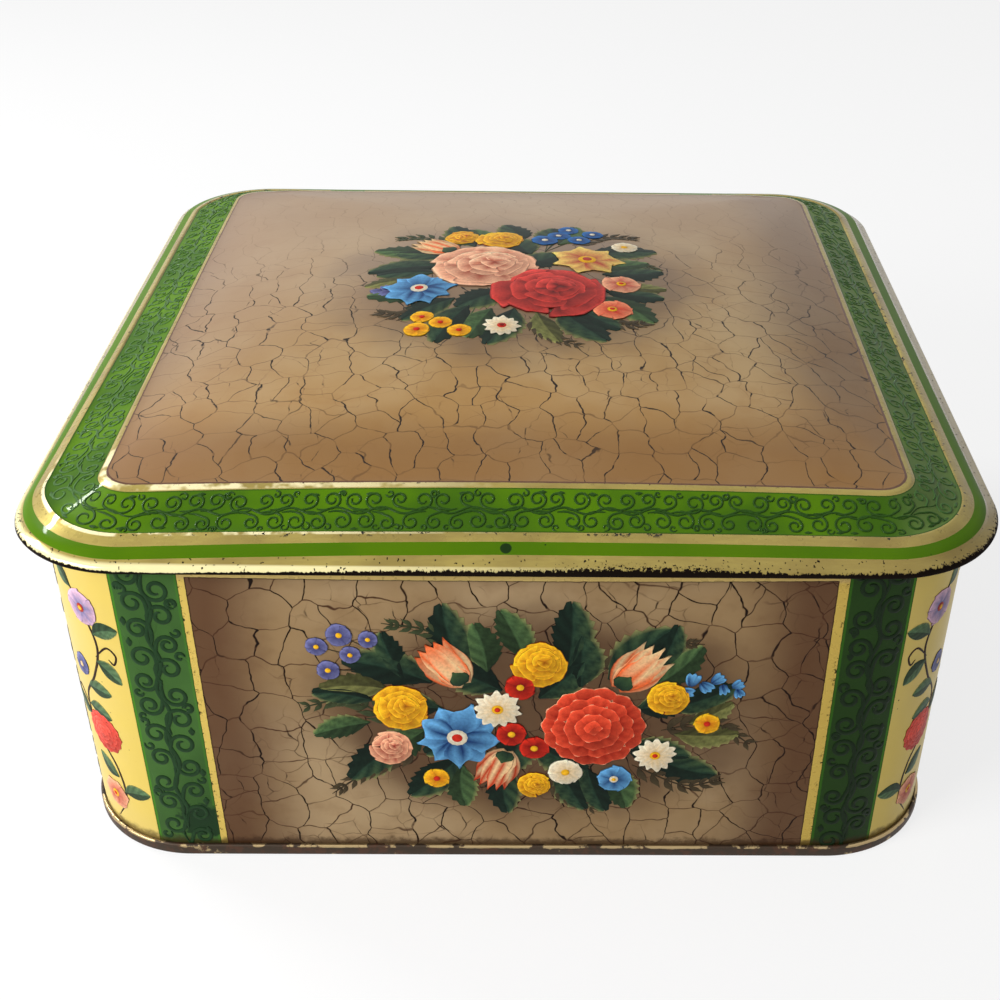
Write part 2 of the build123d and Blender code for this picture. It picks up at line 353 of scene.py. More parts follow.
def wall_material():
    """Print of one side: crackle panel, gold frame and green scroll bands, with painted shade towards the right and a
    painted shadow under the lid's rim.
    """
    sh = Shader("side_print")
    u, z, inside = sh.flat()
    sh.where = sh.join(u, z)
    halo = (4.0, 40.0, 47.0, 29.0, 0.9)
    colour, cracks = crackle_ground(sh, SIDE_TONES, 7.8, (-1.0, 39.0), (39.0, 31.0, 0.86), halo)
    wobble = (sh.noise(1.4) - 0.5) * 0.22
    reach, height = abs(u) + wobble, z + wobble
    past = reach - u.ramp(-1.0, 1.0, 0.7, 0.0)
    in_frame = (past > FRAME_IN) | (height > TOP_LINE)
    outline = past.ramp(FRAME_IN - 0.4, FRAME_IN) | height.ramp(TOP_LINE - 0.3, TOP_LINE)
    chips = sh.noise(1.5, 3.0, 0.7).ramp(0.57, 0.62) * reach.ramp(BAND_IN - 1.0, BAND_IN)
    gold, gold_rough = gold_print(sh)
    # Painted shade darkens the frame gold towards the right, and a painted shadow of the lid's rim greys its top line
    gold = sh.over(
        gold, (0.8, FRAME_GOLD), (u.ramp(40.0, 62.0, 0.0, 0.4), rgb(150, 122, 48)),
        (z.ramp(TOP_LINE - 1.0, TOP_LINE, 0.0, 0.6), rgb(170, 146, 100)), (chips, WORN),
    )
    on_band = reach > BAND_IN
    edge_line = reach.ramp(BAND_IN + 0.75, BAND_IN + 0.55, 0.0, 0.45) | reach.ramp(BAND_OUT - 0.75, BAND_OUT - 0.55)
    rim_line = reach.ramp(BAND_IN + 0.25, BAND_IN) | reach.ramp(BAND_OUT - 0.3, BAND_OUT)
    blot = sh.vector("LENGTH", sh.vector("SUBTRACT", sh.where, (-69.5, 9.5, 0.0))) + sh.noise(2.5, 3.0) * 7.0
    # The band green darkens towards the right as painted shade
    green = sh.over(
        rgb(48, 80, 34), (sh.noise(24.0, 3.0).ramp(0.35, 0.65), rgb(60, 96, 42)),
        (u.ramp(-30.0, 40.0, 0.0, 0.85), rgb(22, 46, 6)), (edge_line * 0.7, rgb(62, 122, 14)),
        (rim_line * 0.8, rgb(16, 36, 10)), (blot.ramp(8.8, 7.8, 0.0, 0.9), rgb(18, 42, 22)),
    )
    colour = sh.over(colour, (outline * 0.85, CRACK_BLACK), (in_frame, gold), (on_band, green))
    roughness = sh.blend(on_band, sh.blend(in_frame, sh.blend(cracks, 0.36, 0.55), gold_rough), 0.36)
    metallic = sh.blend(on_band, in_frame * 0.25, 0.0)
    relief = crack_relief(sh, cracks)
    return finish_print(sh, inside, foot_grime(sh, z, colour), roughness, metallic, relief, 0.06, 0.06, 0.06)


def corner_material():
    """Yellow ground of the corner strips."""
    sh = Shader("corner_print")
    u, z, inside = sh.flat()
    sh.where = sh.join(u, z)
    colour = sh.over(
        YELLOW, (sh.noise(30.0, 3.0).ramp(0.3, 0.7), rgb(208, 182, 86)),
        (sh.noise(3.0, 4.0, 0.7).ramp(0.66, 0.72, 0.0, 0.5), rgb(150, 110, 50)),
        (sh.noise(1.6, 2.0, 0.6).ramp(0.74, 0.77), WORN),
    )
    relief = sh.bump(sh.noise(1.2, 3.0), 0.00003, 0.5)
    return finish_print(sh, inside, foot_grime(sh, z, colour), 0.38, 0.12, relief, 0.1, 0.06, 0.08)


def lid_panel_material():
    """Crackle ground of the lid's dome, with painted sheen towards the back and the left."""
    sh = Shader("lid_panel_print")
    x, y, inside = sh.flat()
    sh.where = sh.join(x, y)
    halo = (0.0, 3.0, 45.0, 41.0, 0.72)
    colour, cracks = crackle_ground(sh, LID_TONES, 7.2, (-8.0, 8.0), (60.0, 58.0, 0.62), halo, 0.6, 50.0)
    ground = 1.0 - cracks
    specks = sh.noise(2.2, 2.0, 0.6).ramp(0.72, 0.76) * y.ramp(20.0, 70.0, 0.15, 1.0)
    # Painted sheen makes the ground paler and pinker towards the back and greyer towards the left; the warmer front is
    # print
    colour = sh.over(
        colour, ((y + x * -0.35).ramp(-50.0, 60.0, 0.0, 0.5) * ground, rgb(160, 138, 120)),
        (x.ramp(-40.0, -80.0, 0.0, 0.25) * ground, rgb(140, 112, 98)),
        (y.ramp(-25.0, -80.0, 0.0, 0.3) * ground, rgb(174, 124, 62)), (specks, rgb(74, 48, 34)),
    )
    return finish_print(sh, inside, colour, sh.blend(cracks, 0.34, 0.5), 0.0, crack_relief(sh, cracks), 0.1, 0.08, 0.1)


def lid_ring_material(name, kind):
    """Print of one ring of the lid's border: "outer" or "inner" gold line, "band" or "stripe"; the band has a painted
    reflection on its right side, the gold lines painted glints at the front.
    """
    sh = Shader(name)
    sh.where = sh.place()
    x, y, _ = sh.split(sh.where)
    _, across, inside = sh.flat()
    metallic, coat = 0.0, 0.1
    if kind == "band":
        edge = across.ramp(0.05, 0.0) | across.ramp(0.96, 1.0)
        # Painted reflection pales the band's right side
        colour = sh.over(
            BAND_GREEN, (sh.noise(22.0, 3.0).ramp(0.35, 0.65), BAND_DEEP),
            (x.ramp(74.0, 82.0, 0.0, 0.3), rgb(126, 138, 98)), (edge * 0.8, rgb(30, 66, 14)),
        )
        roughness = 0.36
    elif kind == "stripe":
        dot = sh.vector("LENGTH", sh.vector("SUBTRACT", sh.where, (0.0, -95.8, 82.8)))
        colour = sh.over(
            STRIPE_GREEN, (sh.noise(18.0, 3.0).ramp(0.3, 0.7), rgb(71, 109, 0)), (dot.ramp(1.25, 1.0), rgb(24, 48, 12)),
            (sh.noise(1.1).ramp(0.76, 0.79), rgb(22, 44, 10)),
        )
        roughness = 0.34
    else:
        colour, roughness = gold_print(sh)
        chips = sh.noise(1.3, 3.0, 0.7) + sh.noise(25.0, 1.0) * 0.25
        chips = chips.ramp(0.75, 0.785) * across.ramp(0.35, 0.75)
        # Painted glints along the crest of the gold lines at the front left
        painted_glint = y.ramp(-60.0, -72.0) * x.ramp(10.0, -50.0) * sh.noise(7.0, 3.0, 0.6).ramp(0.4, 0.52)
        crest = across.ramp(0.05, 0.2) if kind == "inner" else across.ramp(0.68, 0.78)
        colour = sh.over(colour, (painted_glint * crest * 0.8, rgb(252, 240, 190)), (chips, WORN))
        metallic, coat = sh.blend(chips, 0.16, 0.0), 0.5
        if kind == "inner":
            shade = (across + sh.noise(1.6) * 0.12).ramp(0.76, 0.82)
            colour = sh.mix(shade, colour, rgb(92, 58, 38))
            metallic = sh.blend(shade, metallic, 0.0)
    relief = sh.bump(sh.noise(1.3, 3.0), 0.00002, 0.25)
    return finish_print(sh, inside, colour, roughness, metallic, relief, coat, 0.04, 0.02)


def rim_material():
    """Gold flare and rolled rim, with the paint chipped away along the bottom of the roll, a painted highlight along
    the top of the roll and painted shade towards the right.
    """
    sh = Shader("rim_gold")
    sh.where = sh.place()
    x, y, z = sh.split(sh.where)
    inside = sh.flat()[2]
    colour, roughness = gold_print(sh)
    zone = sh.noise(42.0, 2.0, 0.6)
    front = abs(x - 8.0).ramp(68.0, 24.0) * y.ramp(-80.0, -96.0)
    corner = abs(x + 2.0).ramp(58.0, 88.0) * y.ramp(-50.0, -84.0) * x.ramp(-30.0, 30.0, 0.65, 1.0)
    worn = zone.ramp(0.4, 0.65, 0.0, 0.3) + front * 0.66 + corner * 0.85
    teeth = sh.noise(0.75, 3.0, 0.8, (1.0, 1.0, 0.25)) - 0.42
    level = worn * 1.15 + teeth * (worn * 2.4 + 0.5)
    loss = (z - (RIM_Z - 0.35) - level).ramp(0.06, -0.06)
    spots = sh.noise(1.5, 2.0, 0.6).ramp(0.72, 0.74) * zone.ramp(0.4, 0.6)
    cracks = sh.noise(0.7, 1.0, stretch=(1.0, 1.0, 0.12)).ramp(0.69, 0.71) * z.ramp(RIM_Z + 2.7, RIM_Z + 1.8)
    loss = loss | (spots | cracks)
    # Painted highlight along the top of the roll, strongest at the left, and painted shade that darkens the gold
    # towards the right
    painted_roll_highlight = z.ramp(RIM_Z + 1.12, RIM_Z + 0.95) * x.ramp(30.0, -45.0)
    colour = sh.over(
        colour, (x.ramp(15.0, 95.0, 0.0, 0.45), rgb(126, 104, 46)), (painted_roll_highlight * 0.85, rgb(250, 238, 180)), (loss, WORN)
    )
    roughness = sh.blend(loss, roughness * 0.62, 0.8)
    relief = sh.bump(loss * -1.0, 0.00008, 0.7)
    coat = sh.blend(loss, 0.5, 0.0)
    return finish_print(sh, inside, colour, roughness, sh.blend(loss, 0.26, 0.0), relief, coat, 0.05, 0.05)


def worn_tin_material(name, ground, bare, share):
    """Lacquered tinplate, worn through to bare metal and rust in patches."""
    sh = Shader(name)
    sh.where = sh.place()
    z = sh.split(sh.where)[2]
    crest = z.ramp(SEAM_TOP - 0.75, SEAM_TOP - 0.35) * sh.noise(9.0, 3.0).ramp(0.38, 0.56, 0.0, 0.24)
    wear = (sh.noise(7.0, 5.0, 0.68) + crest).ramp(share, share + 0.06)
    rust = sh.noise(3.2, 5.0, 0.7).ramp(0.48, 0.62)
    colour = sh.over(ground, (rust, rgb(70, 42, 22)), (wear, bare))
    relief = sh.bump(sh.noise(1.0, 4.0), 0.00008, 0.7)
    return sh.finish(colour, sh.blend(wear, 0.55, 0.34), sh.blend(wear, 0.35, 0.85), relief)


def lacquer_material():
    """Gold lacquer of the base plate and the roll of the mouth."""
    sh = Shader("gold_lacquer")
    sh.where = sh.place()
    cloud = sh.noise(26.0, 4.0, 0.6)
    scratch = sh.noise(1.0, 3.0, 0.7, (0.06, 1.0, 1.0))
    colour = sh.over(
        LACQUER_DARK, (cloud.ramp(0.35, 0.65), LACQUER), (scratch.ramp(0.66, 0.72, 0.0, 0.5), rgb(196, 188, 170)),
        (sh.noise(5.0, 4.0, 0.7).ramp(0.66, 0.74, 0.0, 0.6), rgb(96, 62, 30)),
    )
    return sh.finish(colour, cloud.ramp(0.3, 0.7, 0.34, 0.5), 0.65, sh.bump(scratch, 0.00003, 0.4))


def steel_material():
    """Dull tinned steel of the hinges."""
    sh = Shader("hinge_steel")
    sh.where = sh.place()
    grain = sh.noise(0.7, 3.0, 0.6, (0.15, 1.0, 1.0))
    rust = sh.noise(2.4, 5.0, 0.7).ramp(0.6, 0.7, 0.0, 0.8)
    colour = sh.over(rgb(112, 105, 92), (grain.ramp(0.3, 0.7), rgb(146, 140, 126)), (rust, rgb(104, 66, 40)))
    return sh.finish(colour, sh.blend(rust, 0.42, 0.7), sh.blend(rust, 0.8, 0.3), sh.bump(grain, 0.00003, 0.5))


def paint_material(name, roughness, depth, coat):
    """Printed or embossed artwork; its colour is carried by the vertices and varied a little."""
    sh = Shader(name)
    sh.where = sh.place()
    paint = sh.value("ShaderNodeAttribute", (), "Color", attribute_name="paint")
    grain = sh.noise(0.7, 3.0, 0.6)
    dark = sh.mix(0.55, paint, rgb(40, 22, 10), "MULTIPLY")
    colour = sh.mix(grain.ramp(0.35, 0.7, 0.0, 0.4), paint, dark)
    return sh.finish(colour, roughness, 0.0, sh.bump(grain, depth, 0.6), coat, 0.06, 0.06)


# Meshes
def make_piece(name, verts, faces, material, body, replaces=None, flat=None, paint=None, sharp=38):
    """Build a piece from millimetres, make it ride on its body and give it its material.

    flat holds the place of each point on the print and 1 on inner faces, paint the colour of each point.
    """
    mesh = bpy.data.meshes.new(name)
    mesh.from_pydata((np.asarray(verts, float) * 0.001).tolist(), [], [tuple(map(int, f)) for f in faces])
    for key, kind, field, values in (
        ("flat", "FLOAT_VECTOR", "vector", flat),
        ("paint", "FLOAT_COLOR", "color", paint),
    ):
        if values is not None:
            layer = mesh.attributes.new(key, kind, "POINT")
            layer.data.foreach_set(field, np.asarray(values, np.float32).ravel())
    work = bmesh.new()
    work.from_mesh(mesh)
    bmesh.ops.recalc_face_normals(work, faces=work.faces)
    work.to_mesh(mesh)
    work.free()
    mesh.shade_smooth()
    mesh.set_sharp_from_angle(angle=radians(sharp))
    mesh.materials.append(material)
    piece = bpy.data.objects.new(name, mesh)
    bpy.context.scene.collection.objects.link(piece)
    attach(piece, body)
    if replaces:
        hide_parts(replaces)
    return piece


SIDE_NORMAL = [(0, -1), (1, 0), (0, 1), (-1, 0)]
SIDE_ALONG = [(1, 0), (0, 1), (-1, 0), (0, -1)]


def smooth(x, low, high):
    """Smooth step of x from low to high."""
    t = np.clip((np.asarray(x, float) - low) / (high - low), 0, 1)
    return t * t * (3 - 2 * t)


def border_height(inset):
    """Height of the lid's border over the rim at an inset."""
    return np.interp(inset, *zip(*BORDER))


class Plan:
    """A square plan with rounded corners."""

    def __init__(self, half, radius):
        self.half, self.radius, self.straight = half, radius, half - radius

    def point(self, side, u, inset, z, bend=None):
        """Points at u along a side and inset inwards; bend is the radius at which u measures the corner."""
        u, inset, z = np.broadcast_arrays(np.asarray(u, float), inset, z)
        along = np.clip(u, -self.straight, self.straight)
        turn = (u - along) / (bend or self.radius)
        reach = self.radius - inset
        x, y = (
            a * along + n * self.straight + (n * np.cos(turn) + a * np.sin(turn)) * reach
            for n, a in zip(SIDE_NORMAL[side], SIDE_ALONG[side])
        )
        return np.stack([x, y, z], -1)

    def stations(self, corner_steps, side_steps=1):
        """Side and u of the points round the whole plan, each corner halved between its two sides."""
        corner = np.linspace(0, self.radius * pi / 4, corner_steps // 2 + 1)[1:]
        straight = np.linspace(-self.straight, self.straight, side_steps + 1)
        us = np.concatenate([-self.straight - corner[::-1], straight, self.straight + corner[:-1]])
        return [(side, u) for side in range(4) for u in us]


class Wall(Plan):
    """The body's plan, with sides that bulge a little under the lid, as pressed sheet does."""

    def point(self, side, u, inset, z, bend=None):
        u, inset, z = np.broadcast_arrays(np.asarray(u, float), inset, z)
        crown = 1 - np.minimum(np.abs(u) / self.straight, 1) ** 2
        bulge = WALL_BULGE[side] * crown * smooth(z, 3.7, 55) * smooth(z, 80.0, 73.0)
        return super().point(side, u, inset - bulge, z, bend)


class Lid(Plan):
    """The lid's plan, with lines that slide down the flare and a border that arches along the sides."""

    def point(self, side, u, inset, z, bend=None):
        u, inset, z = np.broadcast_arrays(np.asarray(u, float), inset, z)
        drawn = 1 - smooth(np.abs(u), self.straight, self.straight + 0.6 * (bend or self.radius))
        moved = np.interp(inset, DRAWN_INSETS, DRAWN_MOVES[side]) * drawn
        slid = np.interp(u, *LINE_SLIDES[side]) * np.interp(inset, *SLIDE_SHARES)
        slid = slid * smooth(z, RIM_Z + 0.7, RIM_Z + 0.95)
        z = z + border_height(inset - slid) - border_height(inset)
        return super().point(side, u, inset + moved - slid, z + self.arch(side, u, inset), bend)

    def arch(self, side, u, inset):
        """Rise of the border over its drawn height: up in the middle of a side, down at the back."""
        share = np.minimum(np.abs(u) / self.straight, 1)
        border = smooth(inset, 2.2, 6.0)
        if side == 2:
            slope = 0.3 * smooth(inset, PANEL_INSET, 17.6) + 0.5 * smooth(inset, 18.0, 8.0)
            return border * (-0.45 * smooth(share, 0.88, 1.0) - slope * smooth(share, 1.0, 0.8))
        crown = (1 - share**2) * LID_CROWN[side]
        return border * (0.55 * crown - 0.45) + 0.6 * crown * smooth(inset, 8.0, 18.0)


wall = Wall(WALL_HALF, WALL_RADIUS)
lid = Lid(LID_HALF, LID_RADIUS)


def loop_faces(rows, columns, closed=False):
    """Quads between rows of points that each form a loop; closed joins the last row to the first."""
    faces = []
    for i in range(rows if closed else rows - 1):
        here, there = i * columns, (i + 1) % rows * columns
        for k in range(columns):
            l = (k + 1) % columns
            faces.append((here + k, there + k, there + l, here + l))
    return faces


def shifted(faces, count):
    """The same faces on points that come count later."""
    return [tuple(v + count for v in face) for face in faces]


def sweep(plan, stations, section, closed=True):
    """Carry a closed section of (inset, z) points along stations; an open run gets end caps."""
    section = np.asarray(section, float)
    verts = np.concatenate([plan.point(side, u, section[:, 0], section[:, 1]) for side, u in stations])
    n, m = len(stations), len(section)
    faces = loop_faces(n, m, closed)
    if not closed:
        faces += [tuple(range(m)), tuple(range((n - 1) * m, n * m))]
    return verts, faces


def offset_line(points, amount):
    """Points moved sideways from a line by amount."""
    points = np.asarray(points, float)
    before = np.diff(points, axis=0, prepend=points[:1] * 2 - points[1:2])
    after = np.diff(points, axis=0, append=points[-1:] * 2 - points[-2:-1])
    ahead = sum(d / np.linalg.norm(d, axis=1, keepdims=True) for d in (before, after))
    ahead /= np.linalg.norm(ahead, axis=1, keepdims=True)
    return points + amount * np.stack([-ahead[:, 1], ahead[:, 0]], -1)


def arc_points(centre, radius, start, turn, steps):
    """Points on an arc in a section of (inset, height), with angles measured from the outside, upwards."""
    angles = [radians(start + turn * k / steps) for k in range(steps + 1)]
    return [(centre[0] - radius * cos(a), centre[1] + radius * sin(a)) for a in angles]


def border_ring(name, outer, inner, material):
    """A closed ring of the lid's sheet between an outer and an inner line of (inset, height over the rim) points."""
    stations = lid.stations(36, 24)
    verts, faces = sweep(lid, stations, np.concatenate([outer, inner[::-1]]) + (0, RIM_Z))
    reach = np.concatenate([[0], np.cumsum(np.linalg.norm(np.diff(outer, axis=0), axis=1))])
    across = reach / reach[-1]
    flags = [(0, a, 0) for a in across] + [(0, a, 1) for a in across[::-1]]
    make_piece(name, verts, faces, material, "lid", "lid_shell", flags * len(stations))


def wall_piece(name, side, u_lines, z_lines, material, holes=()):
    """A piece of the wall's sheet between u and z lines, without the cells that lie in a hole."""
    u_lines, z_lines = np.asarray(u_lines, float), np.asarray(z_lines, float)
    nu, nz = len(u_lines), len(z_lines)
    back = nu * nz
    grid_u, grid_z = np.meshgrid(u_lines, z_lines, indexing="ij")
    verts = np.concatenate([wall.point(side, grid_u, inset, grid_z).reshape(-1, 3) for inset in (0.0, SHEET)])
    flat = np.stack([grid_u.ravel() - PRINT_SHIFT, grid_z.ravel(), np.zeros(back)], -1)
    flat = np.concatenate([flat, flat + (0, 0, 1)])
    mid_u, mid_z = (u_lines[:-1] + u_lines[1:]) / 2, (z_lines[:-1] + z_lines[1:]) / 2
    kept = {
        (i, j)
        for i in range(nu - 1)
        for j in range(nz - 1)
        if not any(low < mid_u[i] < high and mid_z[j] > floor for low, high, floor in holes)
    }
    faces = []
    for i, j in kept:
        a, b, c, d = i * nz + j, (i + 1) * nz + j, (i + 1) * nz + j + 1, i * nz + j + 1
        faces += [(a, b, c, d), (a + back, d + back, c + back, b + back)]
        for (p, q), beside in (((a, b), (i, j - 1)), ((b, c), (i + 1, j)), ((c, d), (i, j + 1)), ((d, a), (i - 1, j))):
            if beside not in kept:
                faces.append((p, p + back, q + back, q))
    used = sorted({v for f in faces for v in f})
    index = {v: k for k, v in enumerate(used)}
    faces = [tuple(index[v] for v in f) for f in faces]
    make_piece(name, verts[used], faces, material, "box", "body_wall", flat[used])


def dome_size(share):
    """Half width and corner radius of the dome's level line at a share of its foot's size."""
    half = DOME_HALF * share
    return half, half * np.minimum(0.97, DOME_RADIUS / DOME_HALF + 1.6 * (1 - share))


def dome_z(x, y):
    """Height of the lid's panel at any place on it."""
    x, y = np.abs(np.asarray(x, float)), np.abs(np.asarray(y, float))
    low, high = np.full(np.broadcast(x, y).shape, 0.004), np.ones(np.broadcast(x, y).shape)
    for _ in range(26):
        share = (low + high) / 2
        half, radius = dome_size(share)
        qx, qy = x - (half - radius), y - (half - radius)
        gap = np.hypot(np.maximum(qx, 0), np.maximum(qy, 0)) + np.minimum(np.maximum(qx, qy), 0) - radius
        low, high = np.where(gap > 0, share, low), np.where(gap > 0, high, share)
    return RIM_Z + PANEL_RISE + DOME_RISE * (1 - high**2)


def make_dome(material):
    """The lid's panel: a closed shell of sheet, from a hem under the border to the middle."""
    hem = 0.4
    shares = np.concatenate([[1.0], 1 - np.linspace(0, 1, 46)[:-1] ** 1.05])
    plans = [Plan(DOME_HALF + hem, DOME_RADIUS + hem)] + [Plan(*dome_size(share)) for share in shares[1:]]
    top = []
    for plan, share in zip(plans, shares):
        ring = plan.stations(12, 16)
        for side, u in ring:
            x, y, _ = plan.point(side, u, 0.0, 0.0)
            arch = lid.arch(side, (x if side % 2 == 0 else y) / share, PANEL_INSET)
            top.append((x, y, DOME_RISE * (1 - share**2) + arch * share**5))
    n, last = len(ring), len(top) - len(ring)
    top = np.array(top + [(0, 0, DOME_RISE)]) + (0, 0, RIM_Z + PANEL_RISE)
    count = len(top)
    faces = loop_faces(len(plans), n) + [(last + k, last + (k + 1) % n, count - 1) for k in range(n)]
    faces += shifted(faces, count) + [(k, (k + 1) % n, (k + 1) % n + count, k + count) for k in range(n)]
    verts = np.concatenate([top, top - (0, 0, SHEET)])
    flat = np.column_stack([verts[:, :2], np.repeat([0, 1], count)])
    make_piece("lid_panel", verts, faces, material, "lid", "lid_shell", flat)


# Artwork, drawn on any surface
PROFILES = {
    "round": [0.22, 0.45, 0.7, 0.9, 1.0, 1.0, 0.92, 0.72],
    "oval": [0.18, 0.55, 0.82, 0.97, 1.0, 0.92, 0.7, 0.3],
    "heart": [0.16, 0.36, 0.6, 0.82, 0.97, 1.05, 1.0, 0.78],
    "strap": [0.35, 0.7, 0.9, 1.0, 1.0, 1.0, 0.9, 0.55],
    "cup": [0.5, 0.85, 1.0, 1.0, 0.95, 0.88, 0.72, 0.25],
    "leaf": [0.08, 0.45, 0.78, 0.96, 1.0, 0.93, 0.76, 0.5, 0.06],
}


def profile(shape, t):
    """Width of a petal of that shape at a share t of its length."""
    return np.interp(t, np.linspace(0, 1, len(PROFILES[shape])), PROFILES[shape])


def turned(at, turn, reach, across):
    """Points that lie reach along a turn from a place and across it."""
    return at[0] + reach * np.cos(turn) - across * np.sin(turn), at[1] + reach * np.sin(turn) + across * np.cos(turn)


def shaded(colour, tone):
    """A colour made lighter or darker."""
    return np.clip(np.asarray(colour) * tone, 0, 1)


class Canvas:
    """Collects closed, slightly raised shapes on a surface given by place(u, v, lift)."""

    def __init__(self, place, seed):
        self.place = place
        self.random = random.Random(seed)
        self.verts, self.faces, self.paint, self.count = [], [], [], 0

    def patch(self, u, v, lift, colour):
        """A closed shape with a grid for its top and a foot that is buried in the surface."""
        n, m = u.shape
        index = np.arange(n * m).reshape(n, m)
        border = np.concatenate([index[0, :-1], index[:-1, -1], index[-1, :0:-1], index[:0:-1, 0]])
        top = self.place(u.ravel(), v.ravel(), np.broadcast_to(lift, (n, m)).ravel())
        foot = self.place(u.ravel()[border], v.ravel()[border], np.full(len(border), -0.12))
        quads = np.stack([index[:-1, :-1], index[1:, :-1], index[1:, 1:], index[:-1, 1:]], -1).reshape(-1, 4)
        low = np.arange(len(border)) + n * m
        walls = np.stack([border, np.roll(border, -1), np.roll(low, -1), low], -1)
        self.faces += (quads + self.count).tolist() + (walls + self.count).tolist()
        self.faces.append((low[::-1] + self.count).tolist())
        paint = np.broadcast_to(colour, (n, m, 3)).reshape(-1, 3)
        self.verts += [top, foot]
        self.paint += [paint, paint[border] * 0.35]
        self.count += n * m + len(border)

    def stroke(self, points, half_width, colour, lift=0.06, height=0.1):
        """A raised line through points, thinner at its ends."""
        points = np.asarray(points, float)
        ahead = np.gradient(points, axis=0)
        ahead /= np.maximum(np.linalg.norm(ahead, axis=1, keepdims=True), 1e-9)
        t = np.linspace(0, 1, len(points))
        width = half_width * (0.35 + 0.65 * np.minimum(1, np.minimum(t, 1 - t) * 7))
        across = np.array([-1, -0.5, 0.5, 1.0])[None, :] * width[:, None]
        shade = np.array([0.7, 1.12, 1.0, 0.7])[None, :, None]
        self.patch(
            points[:, 0:1] - ahead[:, 1:2] * across, points[:, 1:2] + ahead[:, 0:1] * across,
            lift + height * np.array([0.1, 1.0, 1.0, 0.1]), np.asarray(colour) * shade,
        )

    def petal(self, at, angle, length, width, inner, outer, shape="round", lift=0.12, relief=0.3, bend=0.0,
              notch=0.0, point=0.35, streaks=0.2, grid=(9, 8), frill=0.0, rim=0.42, glow=0.2, line=None):
        """A petal that grows from a point towards an angle, with a dark edge and a light band inside it."""
        t = 1 - (1 - np.linspace(0, 1, grid[0])[:, None]) ** 1.3
        v = np.sin(np.linspace(-pi / 2, pi / 2, grid[1]))[None, :]
        phase = self.random.uniform(0, tau)
        reach = t * length * (1 - point * v**2 * t**2 - notch * np.exp(-((v / 0.3) ** 2)) * t**3)
        reach = reach * (1 + frill * np.sin(11 * v + phase) * t**3)
        across = v * width / 2 * profile(shape, t) * (1 + frill * np.sin(9 * t + phase))
        dome = relief * (1 - v**2) * np.sin(pi * np.clip(0.12 + 0.8 * t, 0, 1)) ** 0.8
        share = t**1.2 + 0.2 * v**2 + streaks * np.sin(7 * v + phase) * np.sin(pi * np.clip(t, 0.05, 0.95))
        share = np.clip(share, 0, 1)[..., None]
        edge = np.maximum(np.abs(v) > 0.99, t > 0.99)
        near = np.maximum(np.abs(v) > 0.8, t > 0.85) & ~edge
        # Painted shade darkens each petal towards its base, where petals lie under each other; the dark edge and light
        # band are print
        tone = (0.72 + 0.28 * np.clip(t * 3, 0, 1)) * (1 - (1 - rim) * edge + glow * near)
        colour = (np.asarray(inner) * (1 - share) + np.asarray(outer) * share) * tone[..., None]
        if line is not None:
            colour = np.where(edge[..., None], np.asarray(line), colour)
        self.patch(*turned(at, angle + bend * t, reach, across), lift + dome, np.clip(colour, 0, 1))

    def leaf(self, at, angle, length, width, colour, lift=0.1, bend=0.0, teeth=0.0):
        """A toothed leaf with a midrib, side veins, a lit half and a pale edge."""
        rows = 17
        t = np.linspace(0, 1, rows)[:, None]
        v = np.array([-1, -0.82, -0.5, -0.14, 0.0, 0.14, 0.5, 0.82, 1.0])[None, :]
        tooth = (np.arange(rows)[:, None] % 2) * (np.abs(v) > 0.9) * (t < 0.95)
        across = v * width / 2 * profile("leaf", t) * (1 + teeth * tooth)
        reach = t * length * (1 + 0.05 * np.abs(v)) + teeth * length * 0.2 * tooth
        dome = 0.24 * (1 - v**2) - 0.1 * np.exp(-((v / 0.2) ** 2))
        half = v * (1 if self.random.random() < 0.5 else -1)
        vein = np.cos(2 * pi * (4 * t - 0.9 * np.abs(v)))
        light = np.where(half > 0, 1.25, 0.5) * (1 + 0.3 * vein) * (0.55 + 0.6 * t)
        light = light + 0.8 * (np.abs(v) < 0.05) * (t < 0.9) * (t > 0.05)
        tint = np.asarray(colour) * light[..., None]
        lit = 0.4 * np.clip(half * 0.7 + 0.1, 0, 1) * (0.5 + 0.5 * vein) * np.clip(1.6 * t * (1.3 - t), 0, 1)
        pale = (np.abs(v) > 0.95) * (half > 0) * (0.2 + 0.4 * tooth)
        for share, tone in ((lit[..., None], LEAF_LIGHT), (pale[..., None], LEAF_EDGE)):
            tint = tint * (1 - share) + np.array(tone) * share
        self.patch(*turned(at, angle + bend * t, reach, across), lift + dome, np.clip(tint, 0, 1))

    def dot(self, at, radius, colour, lift=0.3, height=0.25):
        """A small raised button: rings from its rim inwards, opened into a grid with overlapping ends."""
        a = np.linspace(0, tau, 13)[:, None]
        rings = np.array([1.0, 0.6, 0.05])
        u, z = at[0] + radius * rings * np.cos(a), at[1] + radius * rings * np.sin(a)
        shade = (0.8 + 0.35 * (1 - rings))[None, :, None]
        self.patch(u, z, lift + height * (1 - rings**2), shaded(colour, shade))

    def make(self, name, material, body):
        verts = np.concatenate(self.verts)
        paint = np.column_stack([np.concatenate(self.paint), np.ones(self.count)])
        make_piece(name, verts, self.faces, material, body, paint=paint, sharp=60)


def spiral(centre, outer, inner, start, turns, steps):
    """Points of a spiral that winds inwards."""
    t = np.linspace(0, 1, steps)
    angle = start + turns * tau * t
    radius = outer + (inner - outer) * t**0.8
    return np.column_stack([centre[0] + radius * np.cos(angle), centre[1] + radius * np.sin(angle)])


def through(points, steps=8):
    """A smooth line through points."""
    p = np.asarray(points, float)
    p = np.concatenate([[2 * p[0] - p[1]], p, [2 * p[-1] - p[-2]]])
    out = []
    for i in range(1, len(p) - 2):
        for t in np.linspace(0, 1, steps, endpoint=False):
            a, b, c, d = p[i - 1 : i + 3]
            curve = (2 * a - 5 * b + 4 * c - d) * t**2 + (3 * b - a - 3 * c + d) * t**3
            out.append(0.5 * (2 * b + (c - a) * t + curve))
    return np.array(out + [p[-2]])


